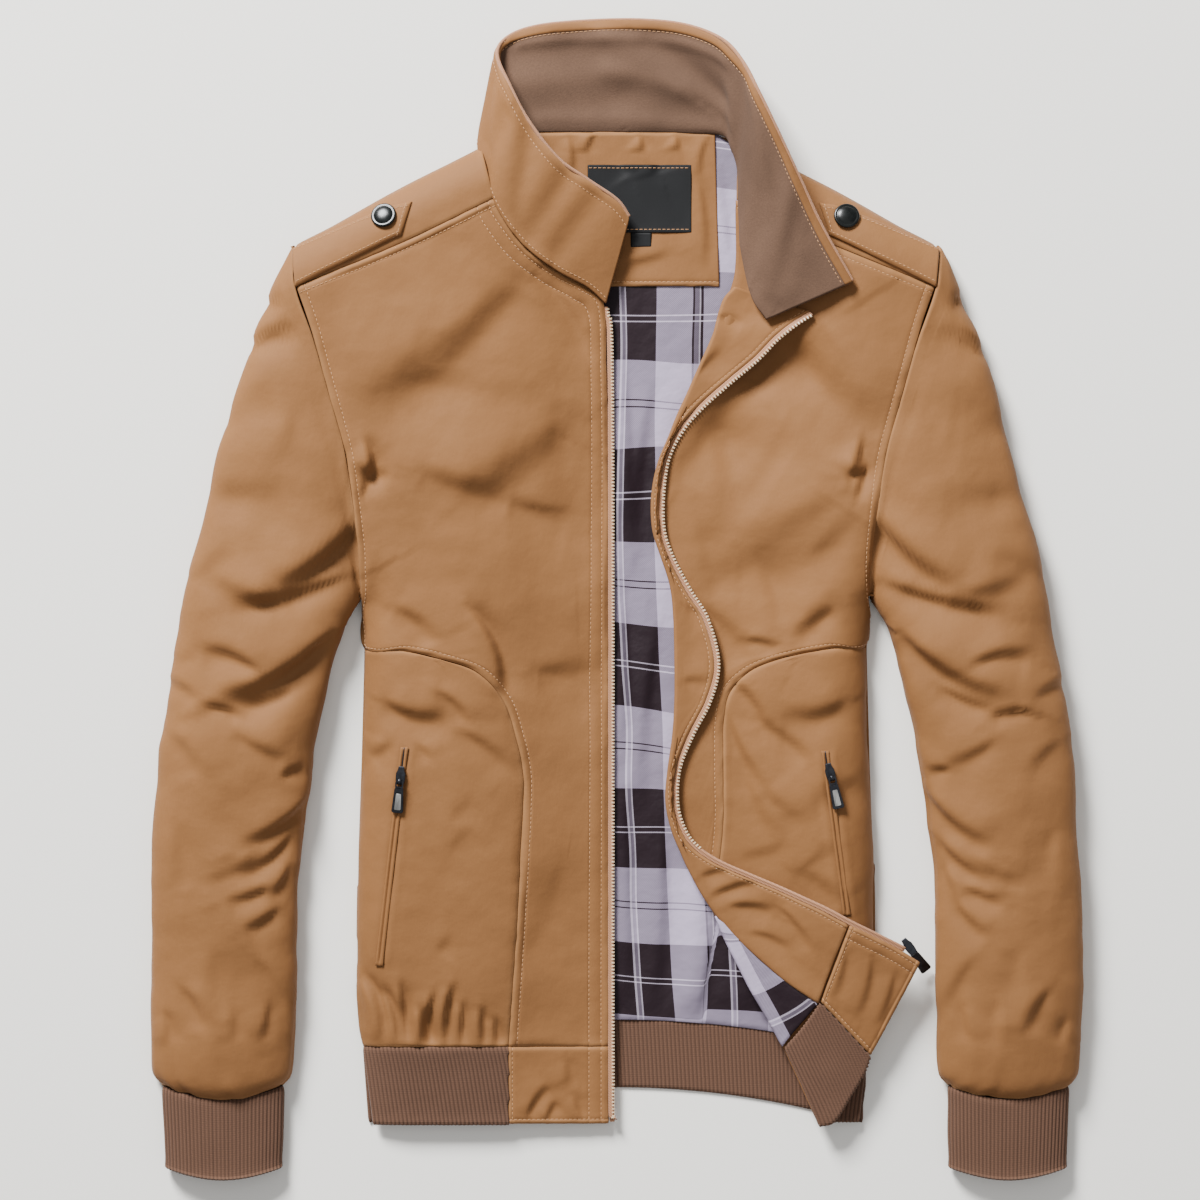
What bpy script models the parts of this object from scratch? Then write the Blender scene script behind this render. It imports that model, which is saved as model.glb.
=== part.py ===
"""A zipped bomber jacket laid flat on its back, with the left front turned open.

Lengths below are millimetres: +X is the viewer's right, +Y runs to the collar and +Z is up from the floor.
Right and left in the names are the wearer's, so the right front lies at -X.
"""

import math
from collections import namedtuple

import bmesh
import bpy
import numpy as np
from mathutils import Matrix, Vector

MM = 0.001
SHELL = 1.6            # shell cloth with its light padding
RIB = 2.4              # folded knit rib
LINING = 1.2           # check lining
FLEECE = 2.0           # brushed collar lining
TAPE = 1.1             # zip tape
SEAM = 0.35            # clearance between neighbouring pieces
FLOOR = 0.0

SIDE_EDGE_Z = 2.7      # where a front's side edge lies on the back panel
OPEN_EDGE_Z = 8.6      # top of a front along its open edge
SIDE_ROUND = 34.0      # width of the rolled side
RIDGE_ROUND = 28.0     # width of the rolled shoulder
OPEN_RISE = 110.0      # how far in from the open edge a front reaches its full height
RIB_PITCH = 6.0        # one raised knit rib and its groove
RIB_DEPTH = 0.8
TAPE_INSIDE = 2.7      # zip tape that shows between the cloth's edge and the teeth's line
TAPE_OUTSIDE = 1.5     # teeth beyond that line
TURN_CLEARANCE = 1.8   # between a front and what is turned out over it
FOLD_CLEARANCE = 0.35  # the same at the fold, where the turned-out cloth rests on the front
FACING = 1.4
CORNER = 2.0           # rib at the back, and rib and hem band at the turned-out corner
ON_TURNED = 0.9        # between the turned-out cloth and the facing or tape on it
ON_CORNER = 1.5        # between the turned-out cloth and the lining, rib and band at its corner
LABEL = 0.8
TAG = 0.7
LINING_INSET = 16.0    # from the back panel's rim to the lining's

HEM_SEAM_Y = -321.1
HEM_Y = -376.6


def table(columns, *rows):
    """A short table: one namedtuple for each row."""
    row_type = namedtuple("Row", columns)
    return [row_type(*row) for row in rows]


# Height of the body's upper layer, from the hem to the shoulders.
CREST = table(
    "y z",
    (-380, 11), (-350, 12.5), (-321, 15), (-290, 21), (-240, 24), (-100, 25.5), (60, 26.5), (200, 25), (330, 22),
)

# Half outline of the back panel, with how far each line bows upwards in the middle.
BACK = table(
    "y half_width rise",
    (-321.1, 181.8, 19.0), (-250.0, 185.6, 8.0), (-180.0, 184.7, 0.0), (-116.0, 182.5, 0.0), (-37.0, 180.4, 0.0),
    (2.9, 181.4, 0.0), (38.9, 183.6, 0.0), (71.3, 187.2, 0.0), (107.3, 192.9, 0.0), (143.3, 203.0, 0.0),
    (186.5, 215.2, 0.0), (223.9, 228.2, 0.0), (254.2, 231.0, 0.0), (265.7, 208.4, 0.0), (295.9, 154.4, 0.0),
    (323.0, 99.7, 11.8),
)

# The shoulder ridge, the armhole and the yoke seam of the right side; the left side mirrors them.
RIDGE = [(-60, 345), (-99.7, 323.3), (-154.4, 295.9), (-180.4, 280.8), (-208.4, 265.7), (-231.5, 254.2), (-262, 238)]
SHOULDER = [(-101.2, 322.5), (-154.4, 295.9), (-208.4, 265.7), (-230.4, 254.8)]
YOKE_SEAM = [(-94.0, 285.0), (-153.7, 254.6), (-228.0, 223.9)]
ARMHOLE = [(-231.5, 254.2), (-228.6, 223.9), (-215.6, 186.5), (-203.4, 143.3), (-193.3, 107.3), (-187.6, 71.3),
           (-184.0, 38.9), (-181.8, 2.9)]
# Beyond the armpit the body's rolled side swings away under the sleeve.
SIDE_LIMIT = [(-300, 230), (-275, 140), (-235, 75), (-200, 30), (-183, -5), (-180.4, -37), (-182.5, -116),
              (-184.7, -181), (-186, -289), (-182, -321), (-180, -400)]

# Open edge of the right front, and the fold of the left front from the neck to the hem.
RIGHT_OPEN_EDGE = [(9.0, 274), (-6.1, 207.4), (-2.5, 143.3), (-2.2, -321), (-1.2, -378)]
ZIP_LINE_RIGHT = [(-6.0, 209.5), (-2.5, 143.3), (-2.2, -321.0), (-1.2, -375.0)]
LEFT_FOLD = [(84, 331), (88, 270), (84, 228), (78.1, 216.7), (69.5, 185.0), (57.2, 158.4), (44, 126), (33.0, 98),
             (29.5, 72.0), (30.5, 45), (38.5, 22), (42.8, -0.7), (44.3, -43.9), (44.0, -87.1), (41.0, -123.1),
             (39.5, -146), (44, -166), (52, -186), (60.8, -203.0), (68.5, -219.6), (77.4, -238), (87.5, -259.2),
             (97.6, -279.4), (109.1, -298.8), (120.6, -320.4), (137.2, -353.5), (147.2, -378.0)]

# The curved seam of a lower side panel, from the side to the hem.
PANEL_SEAM_RIGHT = [(-180.4, -35.7), (-160, -36.4), (-142.9, -38.2), (-121.3, -43.9), (-104.8, -49.0),
                    (-92.5, -57.6), (-81.0, -71.3), (-74.5, -86.4), (-67.3, -116.6), (-65.2, -137.5),
                    (-67.3, -170.0), (-70.2, -232.6), (-76.7, -321.1)]
PANEL_SEAM_LEFT = [(180.4, -33.5), (162, -34.5), (147.2, -36.0), (127.8, -40.3), (108.4, -45.4), (94, -53),
                   (83.9, -62), (77.5, -84), (76.7, -120), (76.7, -164), (70.5, -219.0)]

# The turned-out edge of the left front: its fold and its zip side, from the neck to the hem corner.
TURNED = table(
    "fold_x fold_y zip_x zip_y",
    (78.6, 213.5, 119.0, 187.5), (72.0, 190.0, 101.5, 170.2), (62.5, 168.0, 82.0, 154.0),
    (52.0, 144.5, 62.0, 136.0), (40.5, 120.0, 48.6, 120.6), (32.0, 100.0, 38.5, 101.0),
    (27.5, 76.0, 34.6, 76.0), (27.7, 51.0, 34.8, 50.5), (34.0, 30.0, 41.2, 30.5), (41.0, 8.0, 54.0, 6.5),
    (43.6, -15.0, 66.5, -14.5), (44.3, -45.0, 74.2, -46.0), (44.3, -72.0, 68.5, -72.5),
    (42.6, -98.0, 55.5, -98.5), (38.8, -123.0, 46.0, -122.5), (37.5, -146.0, 44.6, -146.5),
    (41.5, -165.0, 48.8, -162.5), (48.5, -182.0, 57.0, -175.3), (55.0, -196.0, 74.0, -187.0),
    (64.0, -212.0, 97.0, -197.0), (79.0, -231.8, 121.0, -206.8), (100.4, -252.0, 137.0, -214.0),
    (120.0, -269.0, 152.0, -221.0), (146.0, -287.0, 167.5, -229.6),
)
FACING_MEETS_LINING = 19          # the first TURNED row whose fold side is the lining seam

# The turned-up corner below it: the fold beneath the lining seam, then the knit rib and the hem band.
CORNER_LINING = table(
    "fold_x fold_y seam_x seam_y",
    (73.0, -229.0, 79.0, -232.5), (80.5, -245.0, 90.0, -242.5), (88.5, -260.5, 100.0, -252.4),
    (98.6, -280.0, 119.6, -269.4), (110.0, -299.3, 133.5, -279.4), (121.0, -318.8, 145.6, -288.2),
)
HEM_BAND_LEFT = table(
    "rib_x rib_y zip_x zip_y",
    (147.6, -287.8, 168.6, -230.2), (159.0, -300.5, 186.0, -239.0), (171.0, -313.8, 203.0, -247.9),
    (182.5, -326.4, 219.0, -257.6),
)
RIB_LEFT_SEAM = [(122.2, -321.5), (132.4, -310.2), (147.0, -289.3)]
RIB_LEFT_MIDDLE = [(136.0, -352.0), (151.0, -333.0), (164.5, -308.0)]
RIB_LEFT_HEM = [(146.5, -377.6), (157.0, -374.0), (167.0, -358.0), (178.0, -339.1), (182.0, -327.6)]

# Sleeve sections: outer and inner end of each line, its full height, the height of its outer and inner
# sides, how much of the armhole's curve it keeps, and how far its middle sags towards the wrist.
SLEEVE = table(
    "outer_x outer_y inner_x inner_y height side_z armhole sag",
    (-232.2, 254.4, -182.6, 2.5, 26, 4.2, 1.00, 0), (-243.0, 231.0, -183.6, -0.5, 28, 6.5, 0.85, 0),
    (-255.5, 195.0, -185.4, -3.5, 31, 9.0, 0.65, 0), (-268.5, 156.0, -187.6, -7.0, 34, 11.0, 0.45, 0),
    (-283.2, 110.0, -190.2, -11.5, 36, 12.0, 0.27, 0), (-296.0, 60.0, -194.5, -19.0, 37, 12.5, 0.12, 0),
    (-306.0, 16.0, -200.0, -37.0, 37, 12.5, 0.03, 0), (-314.5, -28.0, -206.3, -62.0, 36, 12.5, 0.0, 0),
    (-321.5, -70.0, -212.6, -90.0, 36, 12.5, 0.0, 0), (-327.0, -114.0, -217.8, -124.0, 35, 12.0, 0.0, 0),
    (-330.6, -165.0, -223.6, -165.0, 34, 12.0, 0.0, 0), (-333.2, -213.0, -229.0, -213.0, 33, 11.5, 0.0, 0),
    (-334.3, -262.0, -229.6, -262.0, 32, 11.0, 0.0, 2), (-334.4, -306.0, -230.0, -306.0, 30, 10.5, 0.0, 5),
    (-333.2, -338.0, -231.4, -338.0, 26, 9.5, 0.0, 8), (-326.0, -349.6, -238.2, -349.6, 19.5, 8.5, 0.0, 8.4),
)
CUFF = table(
    "outer_x outer_y inner_x inner_y height side_z armhole sag",
    (-325.6, -350.2, -238.4, -350.2, 19.5, 8.5, 0.0, 8.4), (-323.0, -407.6, -239.6, -407.6, 18.5, 8.0, 0.0, 7.8),
)

# The collar's neck edge and free edge, from the right front end, round the back, to the left front end.
COLLAR = table(
    "neck_x neck_y neck_z top_x top_y top_z bow",
    (-7.3, 212.6, 12.0, 9.5, 273.5, 15.0, 0.5), (-20.2, 224.0, 14.5, 0.6, 285.4, 17.5, 1.5),
    (-41.8, 235.5, 17.5, -20.5, 299.6, 21.0, 2.0), (-64.8, 252.9, 20.0, -42.1, 315.0, 23.5, 2.5),
    (-82.8, 276.4, 20.5, -63.0, 342.0, 24.0, 2.5), (-90.0, 295.4, 18.5, -76.0, 367.0, 21.5, 1.5),
    (-97.3, 324.6, 10.0, -85.0, 390.0, 13.0, 0.0), (-90.0, 334.6, 2.8, -77.5, 403.5, 5.0, 0.0),
    (-56.5, 335.9, 2.3, -56.5, 411.2, 5.5, 0.0), (-20.0, 336.0, 2.3, -20.5, 414.8, 6.0, 0.0),
    (20.0, 336.0, 2.3, 20.0, 415.3, 7.0, 0.0), (53.0, 335.2, 2.6, 52.0, 410.8, 12.0, 0.0),
    (78.0, 333.2, 4.2, 77.0, 399.0, 23.0, 0.0), (86.0, 319.0, 9.0, 91.0, 381.5, 34.0, 1.0),
    (88.3, 299.0, 14.0, 101.0, 361.0, 41.5, 2.0), (89.5, 270.0, 18.0, 114.0, 334.0, 42.5, 3.0),
    (91.5, 243.0, 20.0, 129.0, 302.0, 39.0, 3.0), (97.6, 216.5, 21.0, 147.0, 264.0, 35.0, 2.0),
    (108.0, 200.5, 22.0, 168.3, 226.6, 31.0, 1.0),
)

# Main folds of the upper layer: a soft trough along each line, mirrored for the other side where it says so.
BODY_FOLDS = table(
    "x0 y0 x1 y1 depth width both",
    (-70, 224, -177, 120, 3.0, 22, True), (-139, 88, -33, 52, 2.5, 14, False),
    (-158, -9, -134, -34, 2.5, 9, True), (-103, -5, -78, -66, 2.6, 9, False),
    (-166, -76, -118, -88, 2.8, 11, True), (-55, -55, -15, -58, 2.0, 12, False),
    (-178, -275, -164, -316, 1.8, 7, True), (-139, -292, -136, -318, 1.6, 6, True),
)
SLEEVE_FOLDS = table(
    "x0 y0 x1 y1 depth width",
    (-257, 182, -232, 190, 2.0, 9), (-183, 48, -237, 5, 4.0, 9), (-193, 15, -273, -9, 2.5, 9),
    (-201, -30, -281, -78, 4.5, 9), (-257, -55, -292, -45, 2.5, 9), (-222, -145, -264, -179, 2.5, 10),
    (-250, -207, -275, -218, 2.0, 9), (-308, -280, -295, -306, 1.8, 9),
)

# ---------------------------------------------------------------- plain geometry helpers


def smooth_step(t):
    t = min(max(t, 0.0), 1.0)
    return t * t * (3.0 - 2.0 * t)


def roll(distance, width):
    """Quarter-round rise of a rolled edge: 0 at the edge, 1 once width has been crossed."""
    t = 1.0 - min(max(distance / width, 0.0), 1.0)
    return math.sqrt(1.0 - t * t)


def segment_distance(x, y, x0, y0, x1, y1):
    dx, dy = x1 - x0, y1 - y0
    t = ((x - x0) * dx + (y - y0) * dy) / (dx * dx + dy * dy)
    t = min(max(t, 0.0), 1.0)
    return math.hypot(x - x0 - t * dx, y - y0 - t * dy)


def line_distance(x, y, points):
    return min(segment_distance(x, y, *a, *b) for a, b in zip(points, points[1:]))


def inside_distance(x, y, points):
    """Distance from a rim that is listed with the garment on its left, 0 beyond it."""
    ends = min(zip(points, points[1:]), key=lambda pair: segment_distance(x, y, *pair[0], *pair[1]))
    (x0, y0), (x1, y1) = ends
    inside = (x1 - x0) * (y - y0) - (y1 - y0) * (x - x0) > 0
    return segment_distance(x, y, x0, y0, x1, y1) if inside else 0.0


def interpolate(rows, y):
    """Height of the CREST table at y."""
    return float(np.interp(y, [row.y for row in rows], [row.z for row in rows]))


def along(points, count):
    """count points evenly spaced on the smooth curve through points."""
    points = np.array(points, dtype=float)
    before, after = 2 * points[0] - points[1], 2 * points[-1] - points[-2]
    knots = np.vstack([before, points, after])
    dense = []
    for k in range(1, len(knots) - 2):
        p0, p1, p2, p3 = knots[k - 1:k + 3]
        for t in np.linspace(0, 1, 12, endpoint=False):
            dense.append(0.5 * (2 * p1 + (p2 - p0) * t + (2 * p0 - 5 * p1 + 4 * p2 - p3) * t ** 2
                                + (3 * p1 - p0 - 3 * p2 + p3) * t ** 3))
    dense.append(points[-1])
    dense = np.array(dense)
    length = np.concatenate([[0], np.cumsum(np.linalg.norm(np.diff(dense, axis=0), axis=1))])
    wanted = np.linspace(0, length[-1], count)
    return np.array([[np.interp(w, length, dense[:, axis]) for axis in range(dense.shape[1])] for w in wanted])


def fold_depth(x, y, folds):
    """How far the cloth dips at x, y."""
    dip = 0.0
    for fold in folds:
        distance = segment_distance(x, y, fold.x0, fold.y0, fold.x1, fold.y1)
        dip += fold.depth * math.exp(-(distance / fold.width) ** 2)
    return dip


RIGHT_FOLDS = BODY_FOLDS
LEFT_FOLDS = [fold._replace(x0=-fold.x0, x1=-fold.x1) for fold in BODY_FOLDS if fold.both]


def body_height(x, y, rolled_side=True):
    """Top of the body's upper layer: low at the open edge, full over the chest, rolled down at the sides."""
    crest = interpolate(CREST, y)
    open_edge = RIGHT_OPEN_EDGE if x < 0 else LEFT_FOLD
    inward = smooth_step(line_distance(x, y, open_edge) / OPEN_RISE)
    height = OPEN_EDGE_Z + (crest - OPEN_EDGE_Z) * inward
    height -= min(inward * 3.0, 1.0) * fold_depth(x, y, RIGHT_FOLDS if x < 0 else LEFT_FOLDS)
    rolled = roll(inside_distance(-abs(x), y, RIDGE), RIDGE_ROUND)
    if rolled_side:
        rolled *= roll(inside_distance(-abs(x), y, SIDE_LIMIT), SIDE_ROUND)
    return SIDE_EDGE_Z + (height - SIDE_EDGE_Z) * rolled


def turned_height(x, y):
    """Base of the turned-out layers: just over the front beneath, and level past the body's side."""
    past_side = smooth_step((x - 152.0) / 68.0)
    base = body_height(x, y, rolled_side=False) * (1.0 - 0.42 * past_side)
    off_fold = smooth_step(line_distance(x, y, LEFT_FOLD) / 22.0)
    clearance = FOLD_CLEARANCE + (TURN_CLEARANCE - FOLD_CLEARANCE) * off_fold
    return max(base, body_height(x, y)) + clearance + TURN_CLEARANCE * smooth_step((x - 110.0) / 30.0)


def normal_at(height, x, y):
    step = 0.8
    slope_x = (height(x + step, y) - height(x - step, y)) / (2 * step)
    slope_y = (height(x, y + step) - height(x, y - step)) / (2 * step)
    return Vector((-slope_x, -slope_y, 1.0)).normalized()


# ---------------------------------------------------------------- solids

MATERIALS = {
    "shell_cloth": ((0.356, 0.205, 0.105), 0.62, 0.0),
    "knit_rib": ((0.190, 0.110, 0.070), 0.90, 0.0),
    "check_lining": ((0.300, 0.250, 0.320), 0.70, 0.0),
    "brushed_fleece": ((0.255, 0.145, 0.095), 0.95, 0.0),
    "label_satin": ((0.008, 0.009, 0.012), 0.50, 0.0),
    "snap_black": ((0.012, 0.015, 0.014), 0.30, 0.0),
    "zip_tape": ((0.400, 0.240, 0.140), 0.75, 0.0),
    "zip_metal": ((0.020, 0.020, 0.022), 0.35, 0.8),
}


def material(name):
    found = bpy.data.materials.get(name)
    if found:
        return found
    color, roughness, metallic = MATERIALS[name]
    made = bpy.data.materials.new(name)
    made.use_nodes = True
    shader = made.node_tree.nodes["Principled BSDF"]
    shader.inputs["Base Color"].default_value = (*color, 1.0)
    shader.inputs["Roughness"].default_value = roughness
    shader.inputs["Metallic"].default_value = metallic
    return made


def add_object(name, vertices, faces, finish, smooth=True):
    """One closed mesh, facing out, from points in millimetres."""
    mesh = bpy.data.meshes.new(name)
    mesh.from_pydata([tuple(c * MM for c in v) for v in vertices], [], faces)
    shape = bmesh.new()
    shape.from_mesh(mesh)
    bmesh.ops.recalc_face_normals(shape, faces=shape.faces)
    if shape.calc_volume(signed=True) < 0:
        bmesh.ops.reverse_faces(shape, faces=shape.faces)
    shape.to_mesh(mesh)
    shape.free()
    if smooth:
        mesh.shade_smooth()
        mesh.set_sharp_from_angle(angle=math.radians(40))
    placed = bpy.data.objects.new(name, mesh)
    bpy.context.scene.collection.objects.link(placed)
    mesh.materials.append(material(finish))
    return placed


def wall(name, upper, lower, finish, tube=False):
    """A cloth wall between two grids of points with the same rows and columns."""
    rows, columns = len(upper), len(upper[0])
    vertices = [p for row in upper for p in row] + [p for row in lower for p in row]
    under = rows * columns

    def at(row, column):
        return row * columns + column % columns

    faces = []
    for row in range(rows - 1):
        for column in range(columns if tube else columns - 1):
            quad = [at(row, column), at(row, column + 1), at(row + 1, column + 1), at(row + 1, column)]
            for half in (quad[:3], [quad[0], quad[2], quad[3]]):
                faces.append(half)
                faces.append([under + k for k in reversed(half)])
    for column in range(columns if tube else columns - 1):
        for row in (0, rows - 1):
            a, b = at(row, column), at(row, column + 1)
            faces.append([a, b, under + b, under + a])
    if not tube:
        for row in range(rows - 1):
            for column in (0, columns - 1):
                a, b = at(row, column), at(row + 1, column)
                faces.append([a, b, under + b, under + a])
    return add_object(name, vertices, faces, finish)


def spread(count, crowd_start=0.0, crowd_end=0.0):
    """count values from 0 to 1, closer together at an end that crowds."""
    values = []
    for k in range(count):
        t = k / (count - 1)
        start = 1 - math.cos(t * math.pi / 2)
        end = math.sin(t * math.pi / 2)
        values.append((1 - crowd_start - crowd_end) * t + crowd_start * start + crowd_end * end)
    return values


def rule(first, second, columns, gap_first=0.0, gap_second=0.0):
    """Rows of plan points between two matching lines, held back from each line by a gap."""
    rows = []
    for a, b in zip(first, second):
        a, b = np.array(a, dtype=float), np.array(b, dtype=float)
        run = (b - a) / max(np.linalg.norm(b - a), 1e-6)
        start, end = a + run * gap_first, b - run * gap_second
        rows.append([start + (end - start) * t for t in columns])
    return rows


def laid(name, plan, height, lift, thickness, finish, ribbed=False):
    """A piece that follows height, its underside lift above it; a ribbed one is raised at every other column."""
    upper, lower = [], []
    for row in plan:
        upper_row, lower_row = [], []
        for column, (x, y) in enumerate(row):
            normal = normal_at(height, x, y)
            point = Vector((x, y, height(x, y)))
            ridge = RIB_DEPTH * (0.5 if column % 2 else -0.5) if ribbed else 0.0
            lower_row.append(point + normal * lift)
            upper_row.append(point + normal * (lift + thickness + ridge))
        upper.append(upper_row)
        lower.append(lower_row)
    return wall(name, upper, lower, finish)


def beside(points, distance):
    """A line moved sideways, to the left of its run where distance is positive."""
    points = np.array(points, dtype=float)
    runs = np.gradient(points, axis=0)
    runs /= np.linalg.norm(runs, axis=1)[:, None]
    return points + distance * np.stack([-runs[:, 1], runs[:, 0]], axis=1)


def mirrored(points):
    return [(-x, y) for x, y in points]


# ---------------------------------------------------------------- body


def flat_rows(rows, inset, columns):
    plan = []
    for row in rows:
        half = row.half_width - inset
        plan.append([(x, row.y + row.rise * (1 - (x / row.half_width) ** 2))
                     for x in np.linspace(-half, half, columns)])
    return plan


def make_back():
    def floor(x, y):
        return FLOOR

    laid("back_body", flat_rows(BACK, SEAM, 9), floor, 0.0, SHELL, "shell_cloth")

    def on_back(x, y):
        soft = 1.1 + 1.1 * math.sin(x / 23.0 + 0.6 * math.sin(y / 70.0)) * math.sin(y / 95.0 + 0.4)
        edge = roll(line_distance(-abs(x), y, SIDE_LIMIT) - 14.0, 60.0)
        fold = 2.2 * math.exp(-(segment_distance(x, y, 61, -202, 54, -296) / 9.0) ** 2)
        return SHELL + SEAM + (soft + fold) * edge * smooth_step((300 - y) / 80.0) * smooth_step((y + 310) / 30.0)

    inside = [row for row in BACK if row.y != 254.2]
    plan = flat_rows(inside, LINING_INSET, 13)
    plan[-1] = [(x, y - 1.2) for x, y in plan[-1]]
    laid("back_lining", plan, on_back, 0.0, LINING, "check_lining")

    facing = rule([(-56, 225), (-56, 262), (-56, 300), (-56, 332)], [(74, 225), (74, 262), (74, 300), (71, 332)],
                  spread(7))
    laid("back_neck_facing", facing, on_back, LINING + SEAM, FACING, "shell_cloth")
    above = LINING + FACING + 2 * SEAM
    label = rule([(-19.8, 263.5), (-19.8, 288), (-19.8, 311.8)], [(54.4, 263.5), (54.4, 288), (54.4, 311.8)],
                 spread(6))
    laid("neck_label", label, on_back, above, LABEL, "label_satin")
    tag = rule([(11.2, 253), (11.2, 262.9)], [(25.6, 253), (25.6, 262.9)], spread(3))
    laid("size_tag", tag, on_back, above, TAG, "label_satin")

    rib_columns = int(2 * 180 / RIB_PITCH) * 2 + 1
    rows = []
    for edge_y, rise, half in ((HEM_SEAM_Y - 0.9, 19.0, 181.0), (-376.0, 25.4, 177.0)):
        rows.append([(half * t, edge_y + rise * (1 - t * t)) for t in np.linspace(-1, 1, rib_columns)])
    laid("back_hem_rib", rows, floor, 0.0, CORNER, "knit_rib", ribbed=True)


def below_yoke(seam, columns):
    """A front's top row: the yoke seam, read from the armhole to the neck, less the clearance."""
    dense = along(seam[::-1], 41)
    return [(np.interp(t, np.linspace(0, 1, 41), dense[:, 0]), np.interp(t, np.linspace(0, 1, 41), dense[:, 1]) - 0.6)
            for t in columns]


def make_right_front():
    armhole = along(ARMHOLE[1:], 8)
    seam = along(PANEL_SEAM_RIGHT, 14)
    left_line = list(armhole) + list(seam)
    right_line = [(-94.0, 284.2), (-83.9, 275.0), (-65.2, 252.0), (-42.1, 234.7), (-20.5, 223.2), (-10.0, 211.0),
                  (-6.6, 165.0), (-5.6, 120.0)]
    right_line += [(-5.4, y) for y in np.linspace(80.0, HEM_SEAM_Y, len(seam))]
    columns = spread(12, 0.35, 0.1)
    plan = rule(left_line, right_line, columns, SEAM, 0.0)
    plan[0] = below_yoke(YOKE_SEAM, columns)
    laid("right_front", plan, body_height, -SHELL, SHELL, "shell_cloth")
    side = [(-180.2, y) for y in np.linspace(-39.0, -116.0, 6)] + [(-182.4, -135.0), (-184.0, -165.0),
                                                                  (-185.2, -200.0), (-185.8, -245.0),
                                                                  (-185.2, -290.0), (-181.6, HEM_SEAM_Y)]
    panel = rule(side, seam[2:], spread(9, 0.5, 0.0), 0.0, SEAM)
    laid("right_side_panel", panel, body_height, -SHELL, SHELL, "shell_cloth")
    yoke = rule(along(SHOULDER, 9), along(YOKE_SEAM, 9), spread(6, 0.4, 0.0))
    laid("right_yoke", yoke, body_height, -SHELL, SHELL, "shell_cloth")
    band_rows = [[(x, y) for x in np.linspace(-76.6, -5.4, 8)] for y in np.linspace(-321.6, HEM_Y, 4)]
    laid("right_hem_band", band_rows, body_height, -RIB, RIB, "shell_cloth")
    rib_columns = int(103 / RIB_PITCH) * 2 + 1
    rib_rows = []
    for edge_y, outer_x in ((-321.6, -181.0), (HEM_Y, -173.6)):
        rib_rows.append([(outer_x + (-77.3 - outer_x) * t, edge_y)
                         for t in spread(rib_columns, 0.2, 0.0)])
    laid("right_hem_rib", rib_rows, body_height, -RIB, RIB, "knit_rib", ribbed=True)
    inner = [(np.interp(-y, [-p[1] for p in ZIP_LINE_RIGHT], [p[0] for p in ZIP_LINE_RIGHT]) - TAPE_INSIDE, y)
             for y in np.linspace(209.5, -375.0, 16)]
    outer = [(x + TAPE_INSIDE + TAPE_OUTSIDE, y) for x, y in inner]
    laid("right_zip_tape", rule(inner, outer, spread(2)), body_height, -SHELL, TAPE, "zip_tape")


def make_left_front():
    armhole = along(mirrored(ARMHOLE[1:]), 8)
    seam = along(PANEL_SEAM_LEFT, 13)
    outer_line = list(armhole) + list(seam)
    fold_line = [(92.6, 284.4), (90.5, 262.0), (87.0, 238.0), (82.0, 219.0), (71.0, 185.0), (57.5, 156.0),
                 (43.5, 122.0), (31.8, 82.0)]
    lower_fold = along([(32.0, 45.0), (43.3, -0.7), (44.8, -43.9), (44.5, -87.1), (41.5, -123.1), (40.2, -146),
                        (45.0, -166), (52.6, -186), (60.8, -201.0), (67.5, -216.0)], len(seam))
    fold_line += list(lower_fold)
    columns = spread(12, 0.35, 0.1)
    plan = rule(outer_line, fold_line, columns, SEAM, 0.3)
    plan[0] = below_yoke(mirrored(YOKE_SEAM), columns)
    laid("left_front", plan, body_height, -SHELL, SHELL, "shell_cloth")
    side = [(180.2, y) for y in np.linspace(-36.0, -100.0, 5)] + [(182.4, -125.0), (183.8, -150.0),
                                                                 (184.8, -180.0), (185.6, -205.0),
                                                                 (185.8, -230.0), (185.8, -255.0),
                                                                 (185.6, -280.0), (184.0, -300.0),
                                                                 (181.6, HEM_SEAM_Y)]
    inner = list(seam[2:]) + [(88.3, -259.0), (109.6, -298.8), (121.4, HEM_SEAM_Y)]
    panel = rule(side, inner, spread(9, 0.5, 0.0), 0.0, SEAM)
    laid("left_side_panel", panel, body_height, -SHELL, SHELL, "shell_cloth")
    yoke = rule(along(mirrored(SHOULDER), 9), along(mirrored(YOKE_SEAM), 9), spread(6, 0.4, 0.0))
    laid("left_yoke", yoke, body_height, -SHELL, SHELL, "shell_cloth")
    rib_columns = int(56 / RIB_PITCH) * 2 + 1
    rows = []
    for edge_y, inner_x, outer_x in ((-321.6, 122.6, 181.0), (-375.0, 149.5, 174.5)):
        rows.append([(outer_x + (inner_x - outer_x) * t, edge_y) for t in spread(rib_columns, 0.2, 0.0)])
    laid("left_side_rib", rows, body_height, -RIB, RIB, "knit_rib", ribbed=True)


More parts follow.
